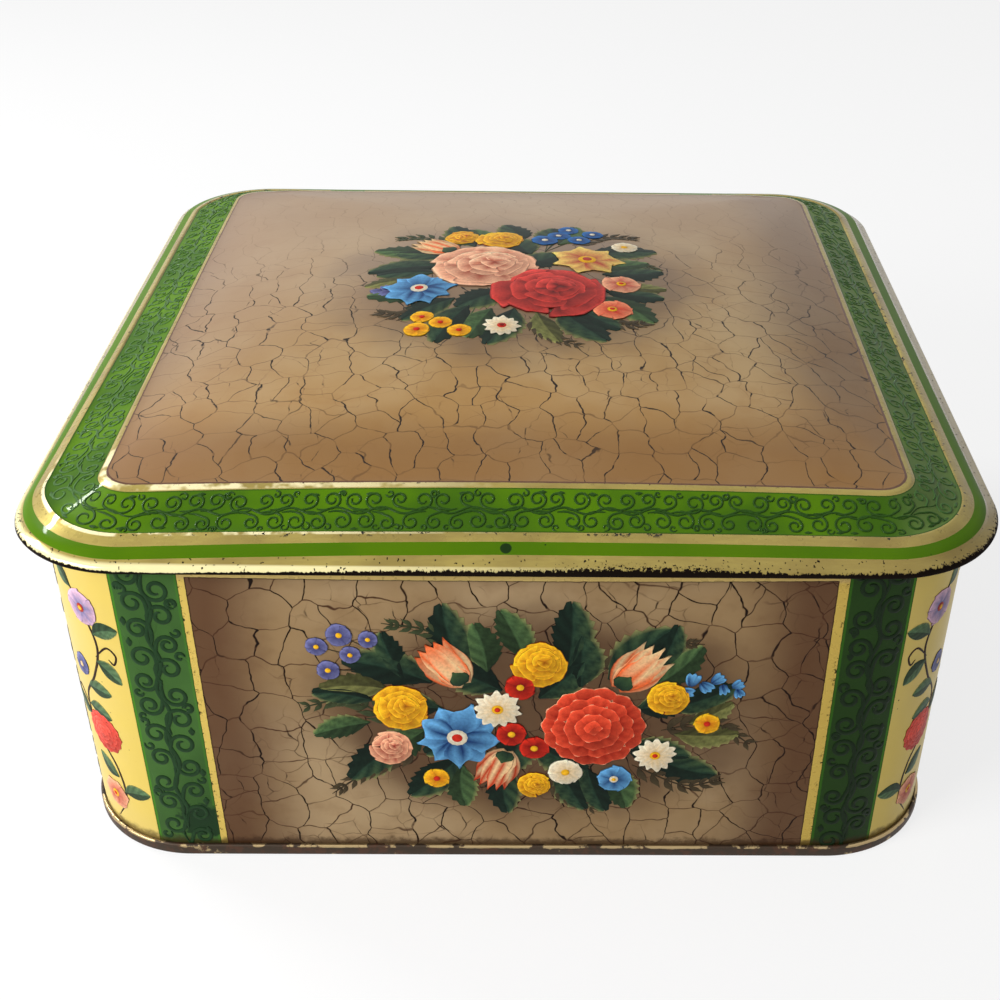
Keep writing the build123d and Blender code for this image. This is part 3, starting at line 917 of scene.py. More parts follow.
def scrolls(canvas, length, width, thick, pitch, colour):
    """Dense running scrolls along a strip: a waving stem, a curl in each bend, small curls and leaves in the gaps."""
    rnd = canvas.random
    count = max(2, round(length / pitch))
    pitch = length / count
    start, middle = -length / 2, width / 2
    radius = min(width * 0.2, pitch * 0.43)

    def draw(line, half_width=thick):
        u, v = np.clip(line[:, 0], start, -start), np.clip(line[:, 1], thick * 1.2, width - thick * 1.2)
        canvas.stroke(np.column_stack([u, v]), half_width, colour)

    along = np.linspace(start, -start, count * 10)
    draw(np.column_stack([along, middle + 0.07 * width * np.sin((along - start) / pitch * pi)]))
    for k in range(count):
        for hand in (-1, 1):
            way = 1 if rnd.random() < 0.62 else -1
            s = start + (k + (0.25 if hand < 0 else 0.75) + rnd.uniform(-0.1, 0.1)) * pitch
            size = radius * rnd.uniform(0.88, 1.1)
            centre = (s, middle + hand * (width / 2 - size - thick * 1.6 - rnd.uniform(0.0, 0.05) * width))
            curl = spiral(centre, size, size * 0.3, -hand * pi / 2, way * hand * rnd.uniform(1.15, 1.4), 24)
            root = (s - way * pitch * 0.62, middle + hand * 0.03 * width)
            bow = (s - way * pitch * 0.3, (root[1] + curl[0, 1]) / 2 - hand * 0.02 * width)
            lead = through([root, bow, tuple(curl[0])], 5)
            draw(np.concatenate([lead[:-1], curl]))
            if rnd.random() < 0.6:
                small = size * rnd.uniform(0.38, 0.5)
                spot = (s + way * pitch * 0.47, middle + hand * (width * 0.46 - small))
                draw(spiral(spot, small, small * 0.4, rnd.uniform(0, tau), way * 0.9, 12), thick * 0.85)
            else:
                tip = (s + way * pitch * 0.4, middle + hand * width * rnd.uniform(0.34, 0.42))
                canvas.petal(
                    tip, rnd.choice((0.0, pi)), width * 0.17, thick * 3.2, colour, colour, "oval", 0.08, 0.1,
                    grid=(6, 4), rim=0.9,
                )


def painted_light(angle):
    """Brightness of a petal that points at an angle, as if light fell from the upper left."""
    return 1 + 0.22 * cos(angle - 2.2)


def off(at, angle, distance):
    """The place at a distance from another one towards an angle."""
    return (at[0] + cos(angle) * distance, at[1] + sin(angle) * distance)


def rose(canvas, at, radius, deep, light, lift=0.3, turn=0.0, line=None):
    """A full-blown rose seen a little from the side, with broad overlapping petals."""
    rnd = canvas.random
    rings = ((6, 1.0, 0.62), (5, 0.78, 0.52), (5, 0.58, 0.42), (4, 0.4, 0.32), (3, 0.24, 0.24))
    for ring, (count, size, long) in enumerate(rings):
        middle = (at[0] + radius * 0.05 * ring, at[1] + radius * 0.04 * ring)
        for k in range(count):
            angle = turn + tau * k / count + ring * 0.8 + rnd.uniform(-0.22, 0.22)
            reach = radius * size * rnd.uniform(0.88, 1.08)
            tone = painted_light(angle) * rnd.uniform(0.85, 1.12)
            canvas.petal(
                off(middle, angle, reach - radius * long), angle, radius * long, reach * 7.0 / count,
                shaded(deep, tone * 0.75), shaded(light, tone), "round", lift + 0.11 * ring, 0.2, streaks=0.3,
                frill=0.05, rim=0.3, point=0.25, glow=0.25, line=line,
            )


def aster(canvas, at, radius, deep, light, lift=0.3, line=None):
    """A double flower of many small scale-like petals."""
    rnd = canvas.random
    for ring, share in enumerate((1.0, 0.8, 0.59, 0.38, 0.2)):
        count = max(4, round(14 * share))
        long = radius * 0.34
        for k in range(count):
            angle = tau * (k + 0.5 * (ring % 2)) / count + rnd.uniform(-0.07, 0.07)
            tone = painted_light(angle) * rnd.uniform(0.82, 1.15)
            canvas.petal(
                off(at, angle, radius * share - long), angle, long * rnd.uniform(0.93, 1.06),
                tau * radius * share / count * 1.12, shaded(deep, tone), shaded(light, tone * (1.15 - 0.3 * share)),
                "oval", lift + 0.1 * ring, 0.2, streaks=0.2, rim=0.3, point=0.1, glow=0.25, grid=(8, 8), line=line,
            )


def open_flower(canvas, at, radius, count, inner, outer, eye, lift=0.3, shape="heart", notch=0.12, width=1.0,
                frill=0.02, streaks=0.25, point=0.3):
    """A flower with one ring of petals and an eye."""
    rnd = canvas.random
    turn = rnd.uniform(0, tau)
    order = list(range(count))
    for k in order[::2] + order[1::2]:
        angle = turn + tau * k / count + rnd.uniform(-0.06, 0.06)
        size = radius * rnd.uniform(0.92, 1.06)
        canvas.petal(
            at, angle, size, width * size * 2.05 * sin(pi / count) * 1.22, inner, shaded(outer, painted_light(angle)),
            shape, lift + 0.09 * (k % 2), 0.16, notch=notch, streaks=streaks, frill=frill, point=point,
            grid=(9, 8) if radius > 3.5 else (7, 6),
        )
    for colour, size, up, height in zip(eye, (0.24, 0.13), (0.26, 0.42), (0.25, 0.2)):
        canvas.dot(at, radius * size, colour, lift + up, height)


def tulip(canvas, at, angle, size, base, tip, lift=0.35):
    """A streaked tulip seen from the side."""
    layers = ((0.5, 0.72, 0.0), (-0.5, 0.78, 0.02), (0.25, 1.0, 0.1), (-0.25, 1.0, 0.14), (0.0, 1.1, 0.22))
    for spread, tone, layer in layers:
        canvas.petal(
            at, angle + spread, size * (1 - 0.1 * abs(spread)), size * 0.42, shaded(base, tone), shaded(tip, tone),
            "cup", lift + layer, 0.2, bend=-spread * 0.35, point=0.3, streaks=0.9, rim=0.4, frill=0.04,
        )
    canvas.petal(at, angle, size * 0.3, size * 0.34, DARK, MID, "cup", lift + 0.42, 0.16, rim=0.5, grid=(6, 6))


def along_line(line, share):
    """Point of a line at a share of its length, and the angle at which it runs there."""
    i = min(len(line) - 2, int(share * (len(line) - 1)))
    ahead = line[i + 1] - line[i]
    return line[i], atan2(ahead[1], ahead[0])


def sprig(canvas, points, leaves, size, colour):
    """A fern-like sprig."""
    line = through(points)
    canvas.stroke(line, 0.2, shaded(colour, 0.7), 0.08, 0.08)
    for k in range(leaves):
        share = (k + 1.0) / (leaves + 0.6)
        spot, angle = along_line(line, share)
        fade = size * (1.1 - 0.6 * share)
        for hand in (-1, 1):
            canvas.petal(
                spot, angle + hand * 0.9, fade, fade * 0.36, shaded(colour, 0.8), shaded(colour, 1.25), "oval", 0.13,
                0.1, bend=-hand * 0.3, grid=(6, 5), rim=0.6, glow=0.1,
            )


def bells(canvas, points, count, size, inner, outer, stem):
    """A stalk hung with small bells."""
    line = through(points)
    canvas.stroke(line, 0.16, stem, 0.12, 0.08)
    for k in range(count):
        share = 0.3 + 0.7 * k / max(1, count - 1)
        spot, angle = along_line(line, share)
        angle += (1 if k % 2 else -1) * 0.9
        grow = size * (1.15 - 0.45 * share)
        for spread in (-0.38, 0.38, 0.0):
            canvas.petal(
                spot, angle + spread, grow, grow * 0.5, inner, outer, "cup", 0.2 + 0.04 * (spread == 0), 0.18,
                point=0.05, grid=(7, 6), streaks=0.4,
            )


def stars(canvas, points, radius, inner, outer, eye, stem, root):
    """Small five-petalled flowers on thin stems from one root."""
    for x, y in points:
        bow = through([root, ((x + root[0]) / 2 + 0.6, (y + root[1]) / 2 + 1.4), (x, y)], 5)
        canvas.stroke(bow, 0.14, stem, 0.08, 0.08)
    for spot in points:
        size = radius * canvas.random.uniform(0.85, 1.1)
        open_flower(canvas, spot, size, 5, inner, outer, (eye,), 0.36, "round", 0.0, 1.0)


RED_DEEP, RED, CORAL = rgb(120, 14, 8), rgb(196, 40, 22), rgb(240, 140, 100)
PINK, ROSE = rgb(232, 168, 130), rgb(176, 58, 48)
GOLDEN = (rgb(200, 110, 8), rgb(238, 178, 30))
SUN = GOLDEN[1]
RUST = rgb(140, 44, 6)
BLUE_DEEP, BLUE, SKY = rgb(14, 44, 96), rgb(34, 100, 164), rgb(96, 158, 204)
WHITE, CREAM = rgb(224, 214, 188), rgb(222, 190, 140)
ORANGE_DEEP, ORANGE = rgb(186, 48, 12), rgb(224, 96, 44)
VIOLET_DEEP, VIOLET = rgb(54, 54, 98), rgb(104, 106, 152)
DARK, MID, OLIVE = rgb(24, 46, 34), rgb(54, 78, 46), rgb(98, 98, 54)
LEAF_LIGHT, LEAF_EDGE = rgb(122, 140, 74), rgb(168, 160, 100)
FERN, FERN_BROWN = rgb(54, 62, 38), rgb(64, 54, 36)


def bouquet(canvas, at, mirror, sprigs, leaves, flowers):
    """A generic garden bouquet: its parts in the order in which they lie on each other."""
    def aim(up):
        return radians(up) if mirror > 0 else pi - radians(up)

    for points, count, size, colour in sprigs:
        sprig(canvas, [at(*point) for point in points], count, size, colour)
    for x, y, angle, length, width, colour, bend in leaves:
        canvas.leaf(at(x, y), aim(angle), length, width, colour, 0.12, mirror * bend, 0.22)
    for kind, where, *looks in flowers:
        if kind is stars:
            stars(canvas, [at(*spot) for spot in where], *looks[:-1], at(*looks[-1]))
        elif kind is bells:
            bells(canvas, [at(*spot) for spot in where], *looks)
        elif kind is tulip:
            tulip(canvas, at(*where), aim(looks[0]), *looks[1:])
        else:
            kind(canvas, at(*where), *looks)


def side_bouquet(canvas, mirror):
    """Bouquet of a side panel."""
    bouquet(
        canvas, lambda x, y: (mirror * 0.95 * x + 2.0, 41.0 + y), mirror,
        (
            ([(-28, -2), (-38, 4), (-48, 2)], 9, 5.0, FERN), ([(-24, -10), (-35, -16), (-44, -23)], 8, 4.8, FERN_BROWN),
            ([(30, -4), (41, -2), (50, -8)], 9, 5.2, FERN_BROWN),
            ([(24, -14), (36, -20), (45, -18)], 8, 4.8, FERN_BROWN),
            ([(6, -16), (9, -23), (17, -28)], 7, 4.4, FERN_BROWN), ([(-12, 14), (-20, 22), (-30, 24)], 8, 4.4, FERN),
            ([(16, 12), (27, 19), (38, 19)], 8, 4.2, FERN_BROWN),
        ),
        (
            (-20, 9, 148, 18, 8.5, DARK, 0.25), (-29, 7, 168, 14, 6.0, OLIVE, 0.2), (-12, 12, 118, 17, 8.0, DARK, -0.2),
            (0, 15, 100, 13, 6.5, MID, 0.2), (9, 13, 76, 16, 8.0, DARK, 0.2), (18, 10, 58, 17, 8.5, DARK, -0.2),
            (27, 8, 34, 14, 6.5, MID, 0.2), (31, 2, 12, 15, 6.5, DARK, 0.2), (33, -5, -12, 13, 6.0, OLIVE, 0.2),
            (28, -11, -34, 15, 7.5, DARK, 0.2), (19, -15, -60, 12, 7.0, MID, -0.2), (8, -15, -78, 13, 7.0, DARK, 0.2),
            (-4, -14, -102, 14, 7.0, DARK, 0.2), (-15, -12, -122, 15, 8.0, DARK, -0.2),
            (-26, -8, -152, 16, 8.0, DARK, 0.2),
            (-34, -2, 186, 12, 5.5, MID, 0.2), (-10, -4, 205, 13, 8.0, DARK, 0.1), (3, 5, 40, 13, 8.0, DARK, 0.1),
            (-5, 7, 150, 13, 8.0, DARK, 0.1), (2, -8, -40, 13, 8.0, DARK, 0.1), (-18, 2, 170, 13, 7.0, DARK, 0.1),
            (24, 2, 10, 12, 7.0, DARK, 0.1), (-22, -4, 215, 13, 8.0, MID, 0.1), (-8, 12, 96, 12, 7.0, MID, 0.1),
            (12, 8, 84, 13, 8.5, DARK, 0.1), (-33, 4, 160, 12, 6.0, DARK, 0.2), (22, -8, -20, 14, 8.0, DARK, 0.1),
            (-14, -14, -100, 12, 6.5, MID, 0.2), (14, -15, -84, 13, 7.0, DARK, 0.2), (36, -2, 20, 10, 5.0, OLIVE, 0.2),
            (28, 12, 60, 12, 6.0, DARK, 0.2), (-26, 10, 120, 12, 6.0, DARK, -0.2), (0, -4, 250, 12, 8.0, DARK, 0.1),
        ),
        (
            (
                stars, ((-37, 16), (-42, 12), (-33, 20), (-44, 18), (-39, 21)), 2.5,
                VIOLET_DEEP, VIOLET, SUN, FERN_BROWN, (-24, 8),
            ),
            (bells, ((28, 4), (38, 9), (47, 7)), 7, 3.6, BLUE_DEEP, SKY, FERN_BROWN),
            (tulip, (-13, 9), 128, 13.0, CREAM, ORANGE),
            (tulip, (20, 8), 48, 13.5, ORANGE, CREAM),
            (tulip, (-4, -10), -112, 12.0, CREAM, ORANGE_DEEP),
            (open_flower, (-15, -6), 9.2, 9, BLUE_DEEP, SKY, (WHITE, RED), 0.36, "oval", 0.0, 1.0, 0.06, 0.45),
            (rose, (-27, 2), 6.2, *GOLDEN, 0.4, 0.0, RUST),
            (rose, (3, 14), 6.0, *GOLDEN, 0.42, 0.5, RUST),
            (rose, (31, 5), 4.6, *GOLDEN, 0.42, 0.9, RUST),
            (rose, (2, -20), 3.6, *GOLDEN, 0.42, 0.2, RUST),
            (rose, (-30, -9), 4.6, ROSE, PINK, 0.42, 0.4),
            (open_flower, (-3, -5), 3.3, 5, RED_DEEP, RED, (SUN,), 0.4, "round", 0.0, 1.05),
            (open_flower, (2, -9), 3.3, 5, RED_DEEP, RED, (SUN,), 0.4, "round", 0.0, 1.05),
            (open_flower, (-1, 8), 3.3, 5, RED_DEEP, RED, (SUN,), 0.4, "round", 0.0, 1.05),
            (open_flower, (-6, 2), 5.2, 13, CREAM, WHITE, (SUN, RED), 0.45, "strap", 0.0, 0.95),
            (open_flower, (29, -11), 4.8, 13, CREAM, WHITE, (SUN, RED), 0.45, "strap", 0.0, 0.95),
            (open_flower, (9, -16), 3.8, 5, CREAM, WHITE, (SUN,), 0.45, "round", 0.0, 1.0),
            (open_flower, (20, -18), 4.0, 5, BLUE_DEEP, SKY, (WHITE, SUN), 0.42),
            (open_flower, (-20, -18), 3.0, 5, *GOLDEN, (RED,), 0.42),
            (open_flower, (40, -2), 3.0, 5, *GOLDEN, (RED,), 0.42),
            (aster, (15, -3), 11.0, rgb(150, 26, 10), rgb(226, 78, 48), 0.5, rgb(244, 176, 136)),
        ),
    )


def lid_bouquet(canvas):
    """Bouquet of the lid."""
    bouquet(
        canvas, lambda x, y: (0.88 * x, 0.95 * y + 2.0), 1,
        (
            ([(-20, -14), (-29, -20), (-37, -18)], 8, 5.0, FERN_BROWN),
            ([(18, -16), (28, -24), (36, -22)], 8, 5.0, FERN_BROWN),
            ([(-16, 20), (-26, 30), (-36, 30)], 8, 5.0, FERN), ([(16, 24), (26, 32), (36, 32)], 8, 5.0, FERN_BROWN),
            ([(4, -22), (9, -31), (18, -36)], 7, 4.6, FERN_BROWN), ([(24, 8), (34, 12), (40, 9)], 7, 4.6, FERN),
        ),
        (
            (-20, 8, 168, 18, 9.0, DARK, 0.3), (-20, -6, 200, 17, 8.5, MID, -0.2), (-12, -16, 236, 18, 9.0, DARK, 0.2),
            (0, -18, 262, 17, 8.5, DARK, -0.2), (12, -18, 296, 17, 9.0, DARK, 0.2), (22, -10, 330, 17, 8.5, MID, -0.2),
            (24, 4, 4, 15, 8.0, DARK, 0.2), (20, 16, 30, 18, 8.5, DARK, -0.2), (12, 24, 62, 15, 8.0, MID, 0.2),
            (0, 26, 92, 14, 8.0, DARK, 0.2), (-12, 22, 122, 17, 8.5, DARK, -0.2), (-24, 16, 150, 15, 7.5, MID, 0.2),
            (-26, 0, 180, 13, 5.6, OLIVE, 0.2), (26, -3, 350, 13, 5.6, OLIVE, 0.2), (6, -20, 280, 14, 6.0, OLIVE, 0.2),
            (0, 8, 30, 14, 9.0, DARK, 0.1), (-2, -8, 210, 14, 9.0, DARK, 0.1), (4, 16, 110, 14, 9.0, DARK, 0.1),
            (-16, -12, 215, 15, 8.0, DARK, 0.1), (-6, -18, 245, 14, 8.0, MID, 0.1), (16, -16, 310, 14, 8.0, DARK, 0.1),
            (24, -6, 345, 14, 7.5, DARK, 0.1), (22, 8, 15, 14, 7.5, MID, 0.1), (8, 24, 75, 13, 8.0, DARK, 0.1),
            (-8, 24, 105, 12, 7.0, MID, 0.1), (-20, 14, 155, 14, 8.0, DARK, 0.1), (-22, 4, 175, 14, 7.5, DARK, 0.1),
        ),
        (
            (stars, ((12, 31), (18, 28), (8, 27), (22, 33), (15, 36)), 3.4, BLUE_DEEP, BLUE, WHITE, FERN, (8, 18)),
            (stars, ((-19, -25), (-14, -29), (-24, -22), (-25, -28)), 3.2, *GOLDEN, RED, MID, (-10, -16)),
            (bells, ((-22, -2), (-31, -7), (-37, -5)), 6, 4.2, VIOLET_DEEP, VIOLET, FERN),
            (tulip, (-18, 18), 140, 13.0, ORANGE, CREAM),
            (rose, (-5, 27), 6.4, *GOLDEN, 0.4, 0.0, RUST),
            (rose, (-16, 29), 4.8, ORANGE_DEEP, SUN, 0.42, 0.5),
            (open_flower, (-26, -6), 8.8, 9, BLUE_DEEP, SKY, (WHITE, RED), 0.4, "oval", 0.0, 1.0, 0.05, 0.4),
            (
                open_flower, (20, 13), 9.6, 7, ROSE, rgb(240, 206, 110), (SUN, ROSE), 0.42,
                "oval", 0.0, 0.95, 0.02, 0.4, 0.5,
            ),
            (open_flower, (29, -2), 5.0, 5, ROSE, PINK, (SUN, RED), 0.42),
            (open_flower, (26, -17), 5.0, 5, RED, CORAL, (SUN, RED), 0.42),
            (open_flower, (-3, -27), 4.6, 12, CREAM, WHITE, (RED, RED_DEEP), 0.45, "strap", 0.0, 0.95),
            (open_flower, (31, 24), 3.6, 5, CREAM, WHITE, (SUN,), 0.42, "round", 0.0, 1.0),
            (rose, (-9, 7), 13.5, rgb(180, 70, 44), rgb(240, 182, 146), 0.5, 0.3),
            (rose, (9, -8), 13.5, rgb(96, 6, 8), rgb(204, 62, 54), 0.6),
        ),
    )


def corner_vine(canvas, mirror):
    """Flowering vine up a corner strip."""
    grey_green, brown = rgb(70, 96, 66), rgb(46, 28, 18)

    def at(x, y):
        return (mirror * x, y)

    stem = [(1, 5), (-3, 12), (-2, 21), (3, 29), (4, 38), (-1, 46), (-4, 55), (-1, 64), (3, 72), (2, 77)]
    canvas.stroke(through([at(*p) for p in stem]), 0.32, brown, 0.06, 0.12)
    for x, y, angle in (
        (-3, 14, 150), (0, 26, 40), (4, 33, 10), (2, 42, 160), (-3, 51, 200), (-3.5, 58, 140), (1, 68, 30),
        (2.5, 74, 150), (-2, 18, 20), (3.5, 36, 170),
    ):
        angle = radians(angle) if mirror > 0 else pi - radians(angle)
        canvas.leaf(at(x, y), angle, 7.0, 4.2, grey_green, 0.1, 0.3 * mirror, 0.0)
    for x, y, hand in ((-3, 52, -1), (4, 35, 1)):
        bends = ((0.0, 0.0), (3.5, 3.5), (5.6, 2.0), (4.8, -0.4), (3.6, 0.6))
        canvas.stroke(through([at(x + hand * out, y + up) for out, up in bends]), 0.24, brown, 0.06, 0.1)
    aster(canvas, at(0.0, 30), 5.4, RED, rgb(222, 90, 74), 0.2, RED_DEEP)
    open_flower(canvas, at(-1.5, 64), 4.4, 5, VIOLET, rgb(208, 168, 186), (ROSE, SUN), 0.2)
    open_flower(canvas, at(0.5, 12), 4.6, 6, ROSE, PINK, (SUN, RED), 0.2, "oval")
    open_flower(canvas, at(3.2, 47), 2.8, 5, VIOLET_DEEP, VIOLET, (CREAM,), 0.2, "round", 0.0)


# Lid
foot_reach = FLARE_INSET - RIM_CURL
foot_angle = degrees(atan2(FLARE_RISE, -foot_reach) - acos(RIM_CURL / hypot(FLARE_RISE, foot_reach)))
rim_line = BORDER[3:0:-1] + arc_points((RIM_CURL, 0.0), RIM_CURL, foot_angle, -270, 26)
rim_inner = offset_line(rim_line, SHEET)
border_line = BORDER[3:]
border_inner = offset_line(border_line, -SHEET)
rim_inner[0] = border_inner[0]
border_inner[-1] = (PANEL_INSET, PANEL_RISE - SHEET)
border_ring("lid_rim", rim_line, rim_inner, rim_material())
for name, first, last, kind in (
    ("lid_stripe", 0, 3, "stripe"),
    ("lid_outer_line", 3, 10, "outer"),
    ("lid_band", 10, 16, "band"),
    ("lid_inner_line", 16, 23, "inner"),
):
    run = slice(first, last + 1)
    border_ring(name, border_line[run], border_inner[run], lid_ring_material(name + "_print", kind))
make_dome(lid_panel_material())

# Body
side_print = wall_material()
corner_print = corner_material()
z_lines = [WALL_FOOT, 3.7, 8, 14, 20, 27, 34, 41, 48, 55, 62, 69, 73, 75, NOTCH_FLOOR, 78.5, 80, MOUTH_Z]
corner_lines = np.linspace(BAND_OUT, 2 * CORNER_MID - BAND_OUT, 14) + PRINT_SHIFT
notches = [(x - NOTCH_HALF, x + NOTCH_HALF) for x in (-NOTCH_X, NOTCH_X)]
for side, name in enumerate(("front", "right", "back", "left")):
    holes = [(*notch, NOTCH_FLOOR) for notch in notches] if side == 2 else []
    u_lines = {u for low, high, _ in holes for u in (low, high)}
    u_lines |= set(np.linspace(-wall.straight, wall.straight, 25))
    u_lines |= set(np.linspace(-BAND_OUT + PRINT_SHIFT, -wall.straight, 6))
    u_lines |= set(np.linspace(wall.straight, BAND_OUT + PRINT_SHIFT, 6))
    wall_piece("body_" + name, side, sorted(u_lines), z_lines, side_print, holes)
    wall_piece("corner_" + name, side, corner_lines, z_lines, corner_print)

lacquer = lacquer_material()
mouth_line = arc_points((MOUTH_CURL, MOUTH_Z), MOUTH_CURL, 0, 270, 26)
mouth_section = np.concatenate([mouth_line, offset_line(mouth_line, -SHEET)[::-1]])
ring = wall.stations(36)
edges = [(2, u) for notch in notches for u in notch]
long_run = [edges[3]] + [s for s in ring if s[0] == 2 and s[1] > edges[3][1]] + [s for s in ring if s[0] == 3]
long_run += [s for s in ring if s[0] < 2] + [s for s in ring if s[0] == 2 and s[1] < edges[0][1]] + [edges[0]]
long_verts, long_faces = sweep(wall, long_run, mouth_section, closed=False)
verts, faces = sweep(wall, edges[1:3], mouth_section, closed=False)
verts, faces = np.concatenate([long_verts, verts]), long_faces + shifted(faces, len(long_verts))
make_piece("mouth_curl", verts, faces, lacquer, "box", "body_wall")

# Lock seam down the inside of the back
seam_section = [(-2.25, 0.02), (-1.9, -0.28), (1.9, -0.28), (2.25, 0.02)]
verts = [(x, WALL_HALF - SHEET + depth, z) for z in (4.2, 20, 40, 60, 80.2) for x, depth in seam_section]
faces = loop_faces(5, 4) + [(0, 1, 2, 3), (16, 17, 18, 19)]
make_piece("lock_seam", verts, faces, lacquer, "box", "body_wall")

# Foot seam and base
foot = [
    (0.62, 0.35), (0.5, 0.12), (0.3, 0.02), (-0.55, 0.0), (-0.78, 0.06), (-0.92, 0.22), (-SEAM_OUT, 0.5),
    (-SEAM_OUT, 2.2), (-0.92, 2.52), (-0.76, 2.72), (-0.55, SEAM_TOP), (-0.2, SEAM_TOP), (-0.03, 2.68), (0.0, 2.4),
    (0.0, 1.0), (0.3, 0.8), (CHUCK_INSET, 3.7), (0.62, 3.7),
]
worn_seam = worn_tin_material("foot_seam_tin", rgb(50, 36, 20), rgb(170, 148, 108), 0.615)
verts, faces = sweep(wall, wall.stations(36, 60), foot)
make_piece("foot_seam", verts, faces, worn_seam, "box", "base_panel")
plate = [(0.5, 0.0), (8.6, 0.0), (9.1, 0.08), (10.5, 1.12), (11.0, BASE_STEP), (22.0, BASE_STEP)]
ring = wall.stations(24)
n, rows = len(ring), len(plate)
levels = [(inset, BASE_Z + rise + up) for up in (SHEET, 0.0) for inset, rise in plate]
verts = [wall.point(side, u, inset, z) for inset, z in levels for side, u in ring]
layer = loop_faces(rows, n) + [tuple(range((rows - 1) * n, rows * n))]
faces = layer + shifted(layer, rows * n)
faces += [(k, (k + 1) % n, rows * n + (k + 1) % n, rows * n + k) for k in range(n)]
make_piece("base_plate", verts, faces, lacquer, "box", "base_panel")

# Embossed scrolls
emboss = paint_material("embossed_green", 0.4, 0.00002, 0.1)
band_half = lid.straight + LID_BAND_MID_RADIUS * pi / 4
lid_scrolls = Canvas(None, 20)
for side in range(4):

    def on_lid_band(u, v, lift, side=side):
        inset = LID_BAND_INSET + np.clip(LID_BAND_WIDTH - v, 0.0, LID_BAND_WIDTH)
        return lid.point(side, u, inset, RIM_Z + border_height(inset) + lift, LID_BAND_MID_RADIUS)

    lid_scrolls.place = on_lid_band
    # Scrolls on the right, back and left are paler than on the front, as painted sheen
    scrolls(lid_scrolls, 2 * band_half, LID_BAND_WIDTH, 0.22, 4.4, SCROLL_GREEN if side == 0 else rgb(63, 101, 44))
lid_scrolls.make("lid_scrolls", emboss, "lid")

body_scrolls = Canvas(None, 40)
band_width, band_middle = BAND_OUT - BAND_IN, (BAND_OUT + BAND_IN) / 2
for side in range(4):
    # The left band's scrolls are lighter and the right band's darker, as painted light and shade
    for hand, colour in ((-1, rgb(27, 56, 27)), (1, rgb(14, 34, 9))):

        def on_strip(u, v, lift, side=side, hand=hand):
            place = hand * (band_middle + (v - band_width / 2) * 0.94)
            return wall.point(side, PRINT_SHIFT + place, -lift, 40.3 + u)

        body_scrolls.place = on_strip
        scrolls(body_scrolls, 75.0, band_width, 0.46, 6.6, colour)
body_scrolls.make("body_scrolls", emboss, "box")

# Painted flowers
enamel = paint_material("painted_flowers", 0.45, 0.00003, 0.05)
for side in range(4):
    for name, draw, seed, middle in (
        ("bouquet_%d", side_bouquet, 60, PRINT_SHIFT),
        ("corner_vine_%d", corner_vine, 80, PRINT_SHIFT + CORNER_MID),
    ):

        def on_wall(u, v, lift, side=side, middle=middle):
            return wall.point(side, middle + u, -FLOWER_RELIEF * lift, v)

        canvas = Canvas(on_wall, seed + side)
        draw(canvas, 1 if side % 2 == 0 else -1)
        canvas.make(name % side, enamel, "box")


def on_lid(u, v, lift):
    return np.stack([u, v, dome_z(u, v) + FLOWER_RELIEF * lift], -1)


canvas = Canvas(on_lid, 100)
lid_bouquet(canvas)
canvas.make("lid_bouquet", enamel, "lid")

# Hinges: pins and body leaves keep their CAD shape; the lid leaves sink a little with the back of the lid's border
steel = steel_material()
for node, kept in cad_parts.items():
    if node.startswith(("body_leaf", "hinge_pin")):
        kept.data.materials.clear()
        kept.data.materials.append(steel)
    elif node.startswith("lid_leaf"):
        verts = np.array([tuple(vertex.co) for vertex in kept.data.vertices]) * 1000
        faces = [tuple(face.vertices) for face in kept.data.polygons]
        sunk = np.interp(LID_HALF - verts[:, 1], (4.7, 16.5), (0.92, 0.64))
        verts[:, 2] -= sunk * smooth(verts[:, 2], 79.6, 81.5)
        make_piece("sunk_" + node, verts, faces, steel, "lid", node)

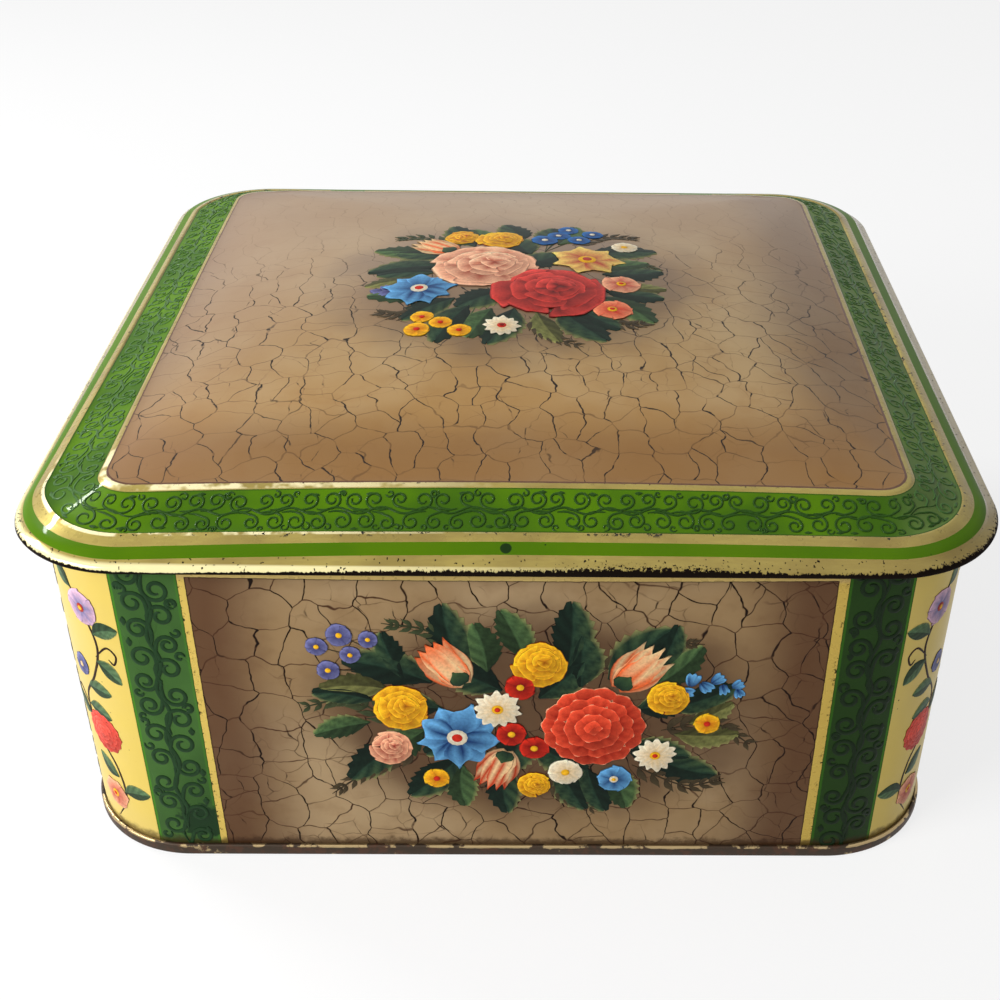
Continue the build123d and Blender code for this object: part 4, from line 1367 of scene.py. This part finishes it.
# Floor and world, both white where the camera sees them past the shadow
FLOOR_HALF = 6
FLOOR_Z = -0.0001
ground = Shader("pale_floor")
glow = ground.value("ShaderNodeEmission", {"Color": (1.0, 1.0, 1.0), "Strength": 1.0})
shares = {0: ground.seen() * 0.78, 1: ground.surface((0.96, 0.96, 0.96), 0.9, specular=0.0), 2: glow}
ground.output(ground.value("ShaderNodeMixShader", shares))
floor_mesh = bpy.data.meshes.new("floor")
corners = [(x * FLOOR_HALF, y * FLOOR_HALF, FLOOR_Z) for x, y in ((-1, -1), (1, -1), (1, 1), (-1, 1))]
floor_mesh.from_pydata(corners, [], [(0, 1, 2, 3)])
floor_mesh.materials.append(ground.block)
floor = bpy.data.objects.new("floor", floor_mesh)
bpy.context.scene.collection.objects.link(floor)

sky = Shader("studio", bpy.data.worlds)
strength = sky.seen().ramp(0.0, 1.0, 0.2, 1.0)
sky.output(sky.value("ShaderNodeBackground", {"Color": (1.0, 1.0, 1.0), "Strength": strength}), "World")
bpy.context.scene.world = sky.block


# Light and camera, in metres
def area_light(name, place, target, width, height, power):
    light = bpy.data.lights.new(name, "AREA")
    light.shape = "RECTANGLE"
    light.size, light.size_y, light.energy = width, height, power
    lamp = bpy.data.objects.new(name, light)
    lamp.location = place
    lamp.rotation_euler = (Vector(target) - Vector(place)).to_track_quat("-Z", "Y").to_euler()
    bpy.context.scene.collection.objects.link(lamp)


area_light("window_back_left", (-0.589, 0.307, 0.563), (-0.093, -0.093, 0.083), 0.26, 0.036, 3.2)
area_light("window_front_left", (-0.58, -0.46, 0.39), (0, -0.05, 0.05), 0.4, 0.3, 5.8)
area_light("ceiling", (-0.45, -0.1, 1.15), (0, 0, 0.05), 4.0, 4.0, 13.0)

camera = bpy.data.cameras.new("camera")
camera.lens = 52.03
camera.sensor_width = 36.0
camera.shift_x, camera.shift_y = -0.0654, 0.0674
camera.clip_start = 0.01
eye = bpy.data.objects.new("camera", camera)
bpy.context.scene.collection.objects.link(eye)
bpy.context.scene.camera = eye
yaw, pitch, roll = radians(1.040), radians(34.842), radians(0.966)
ahead = Vector((sin(yaw) * cos(pitch), cos(yaw) * cos(pitch), -sin(pitch)))
right = Vector((cos(yaw), -sin(yaw), 0))
up = right.cross(ahead)
right, up = cos(roll) * right + sin(roll) * up, -sin(roll) * right + cos(roll) * up
aimed = Matrix((right, up, -ahead)).transposed().to_4x4()
eye.matrix_world = Matrix.Translation((0.00730, -0.32500, 0.23797)) @ aimed
bpy.context.scene.view_settings.view_transform = "Standard"
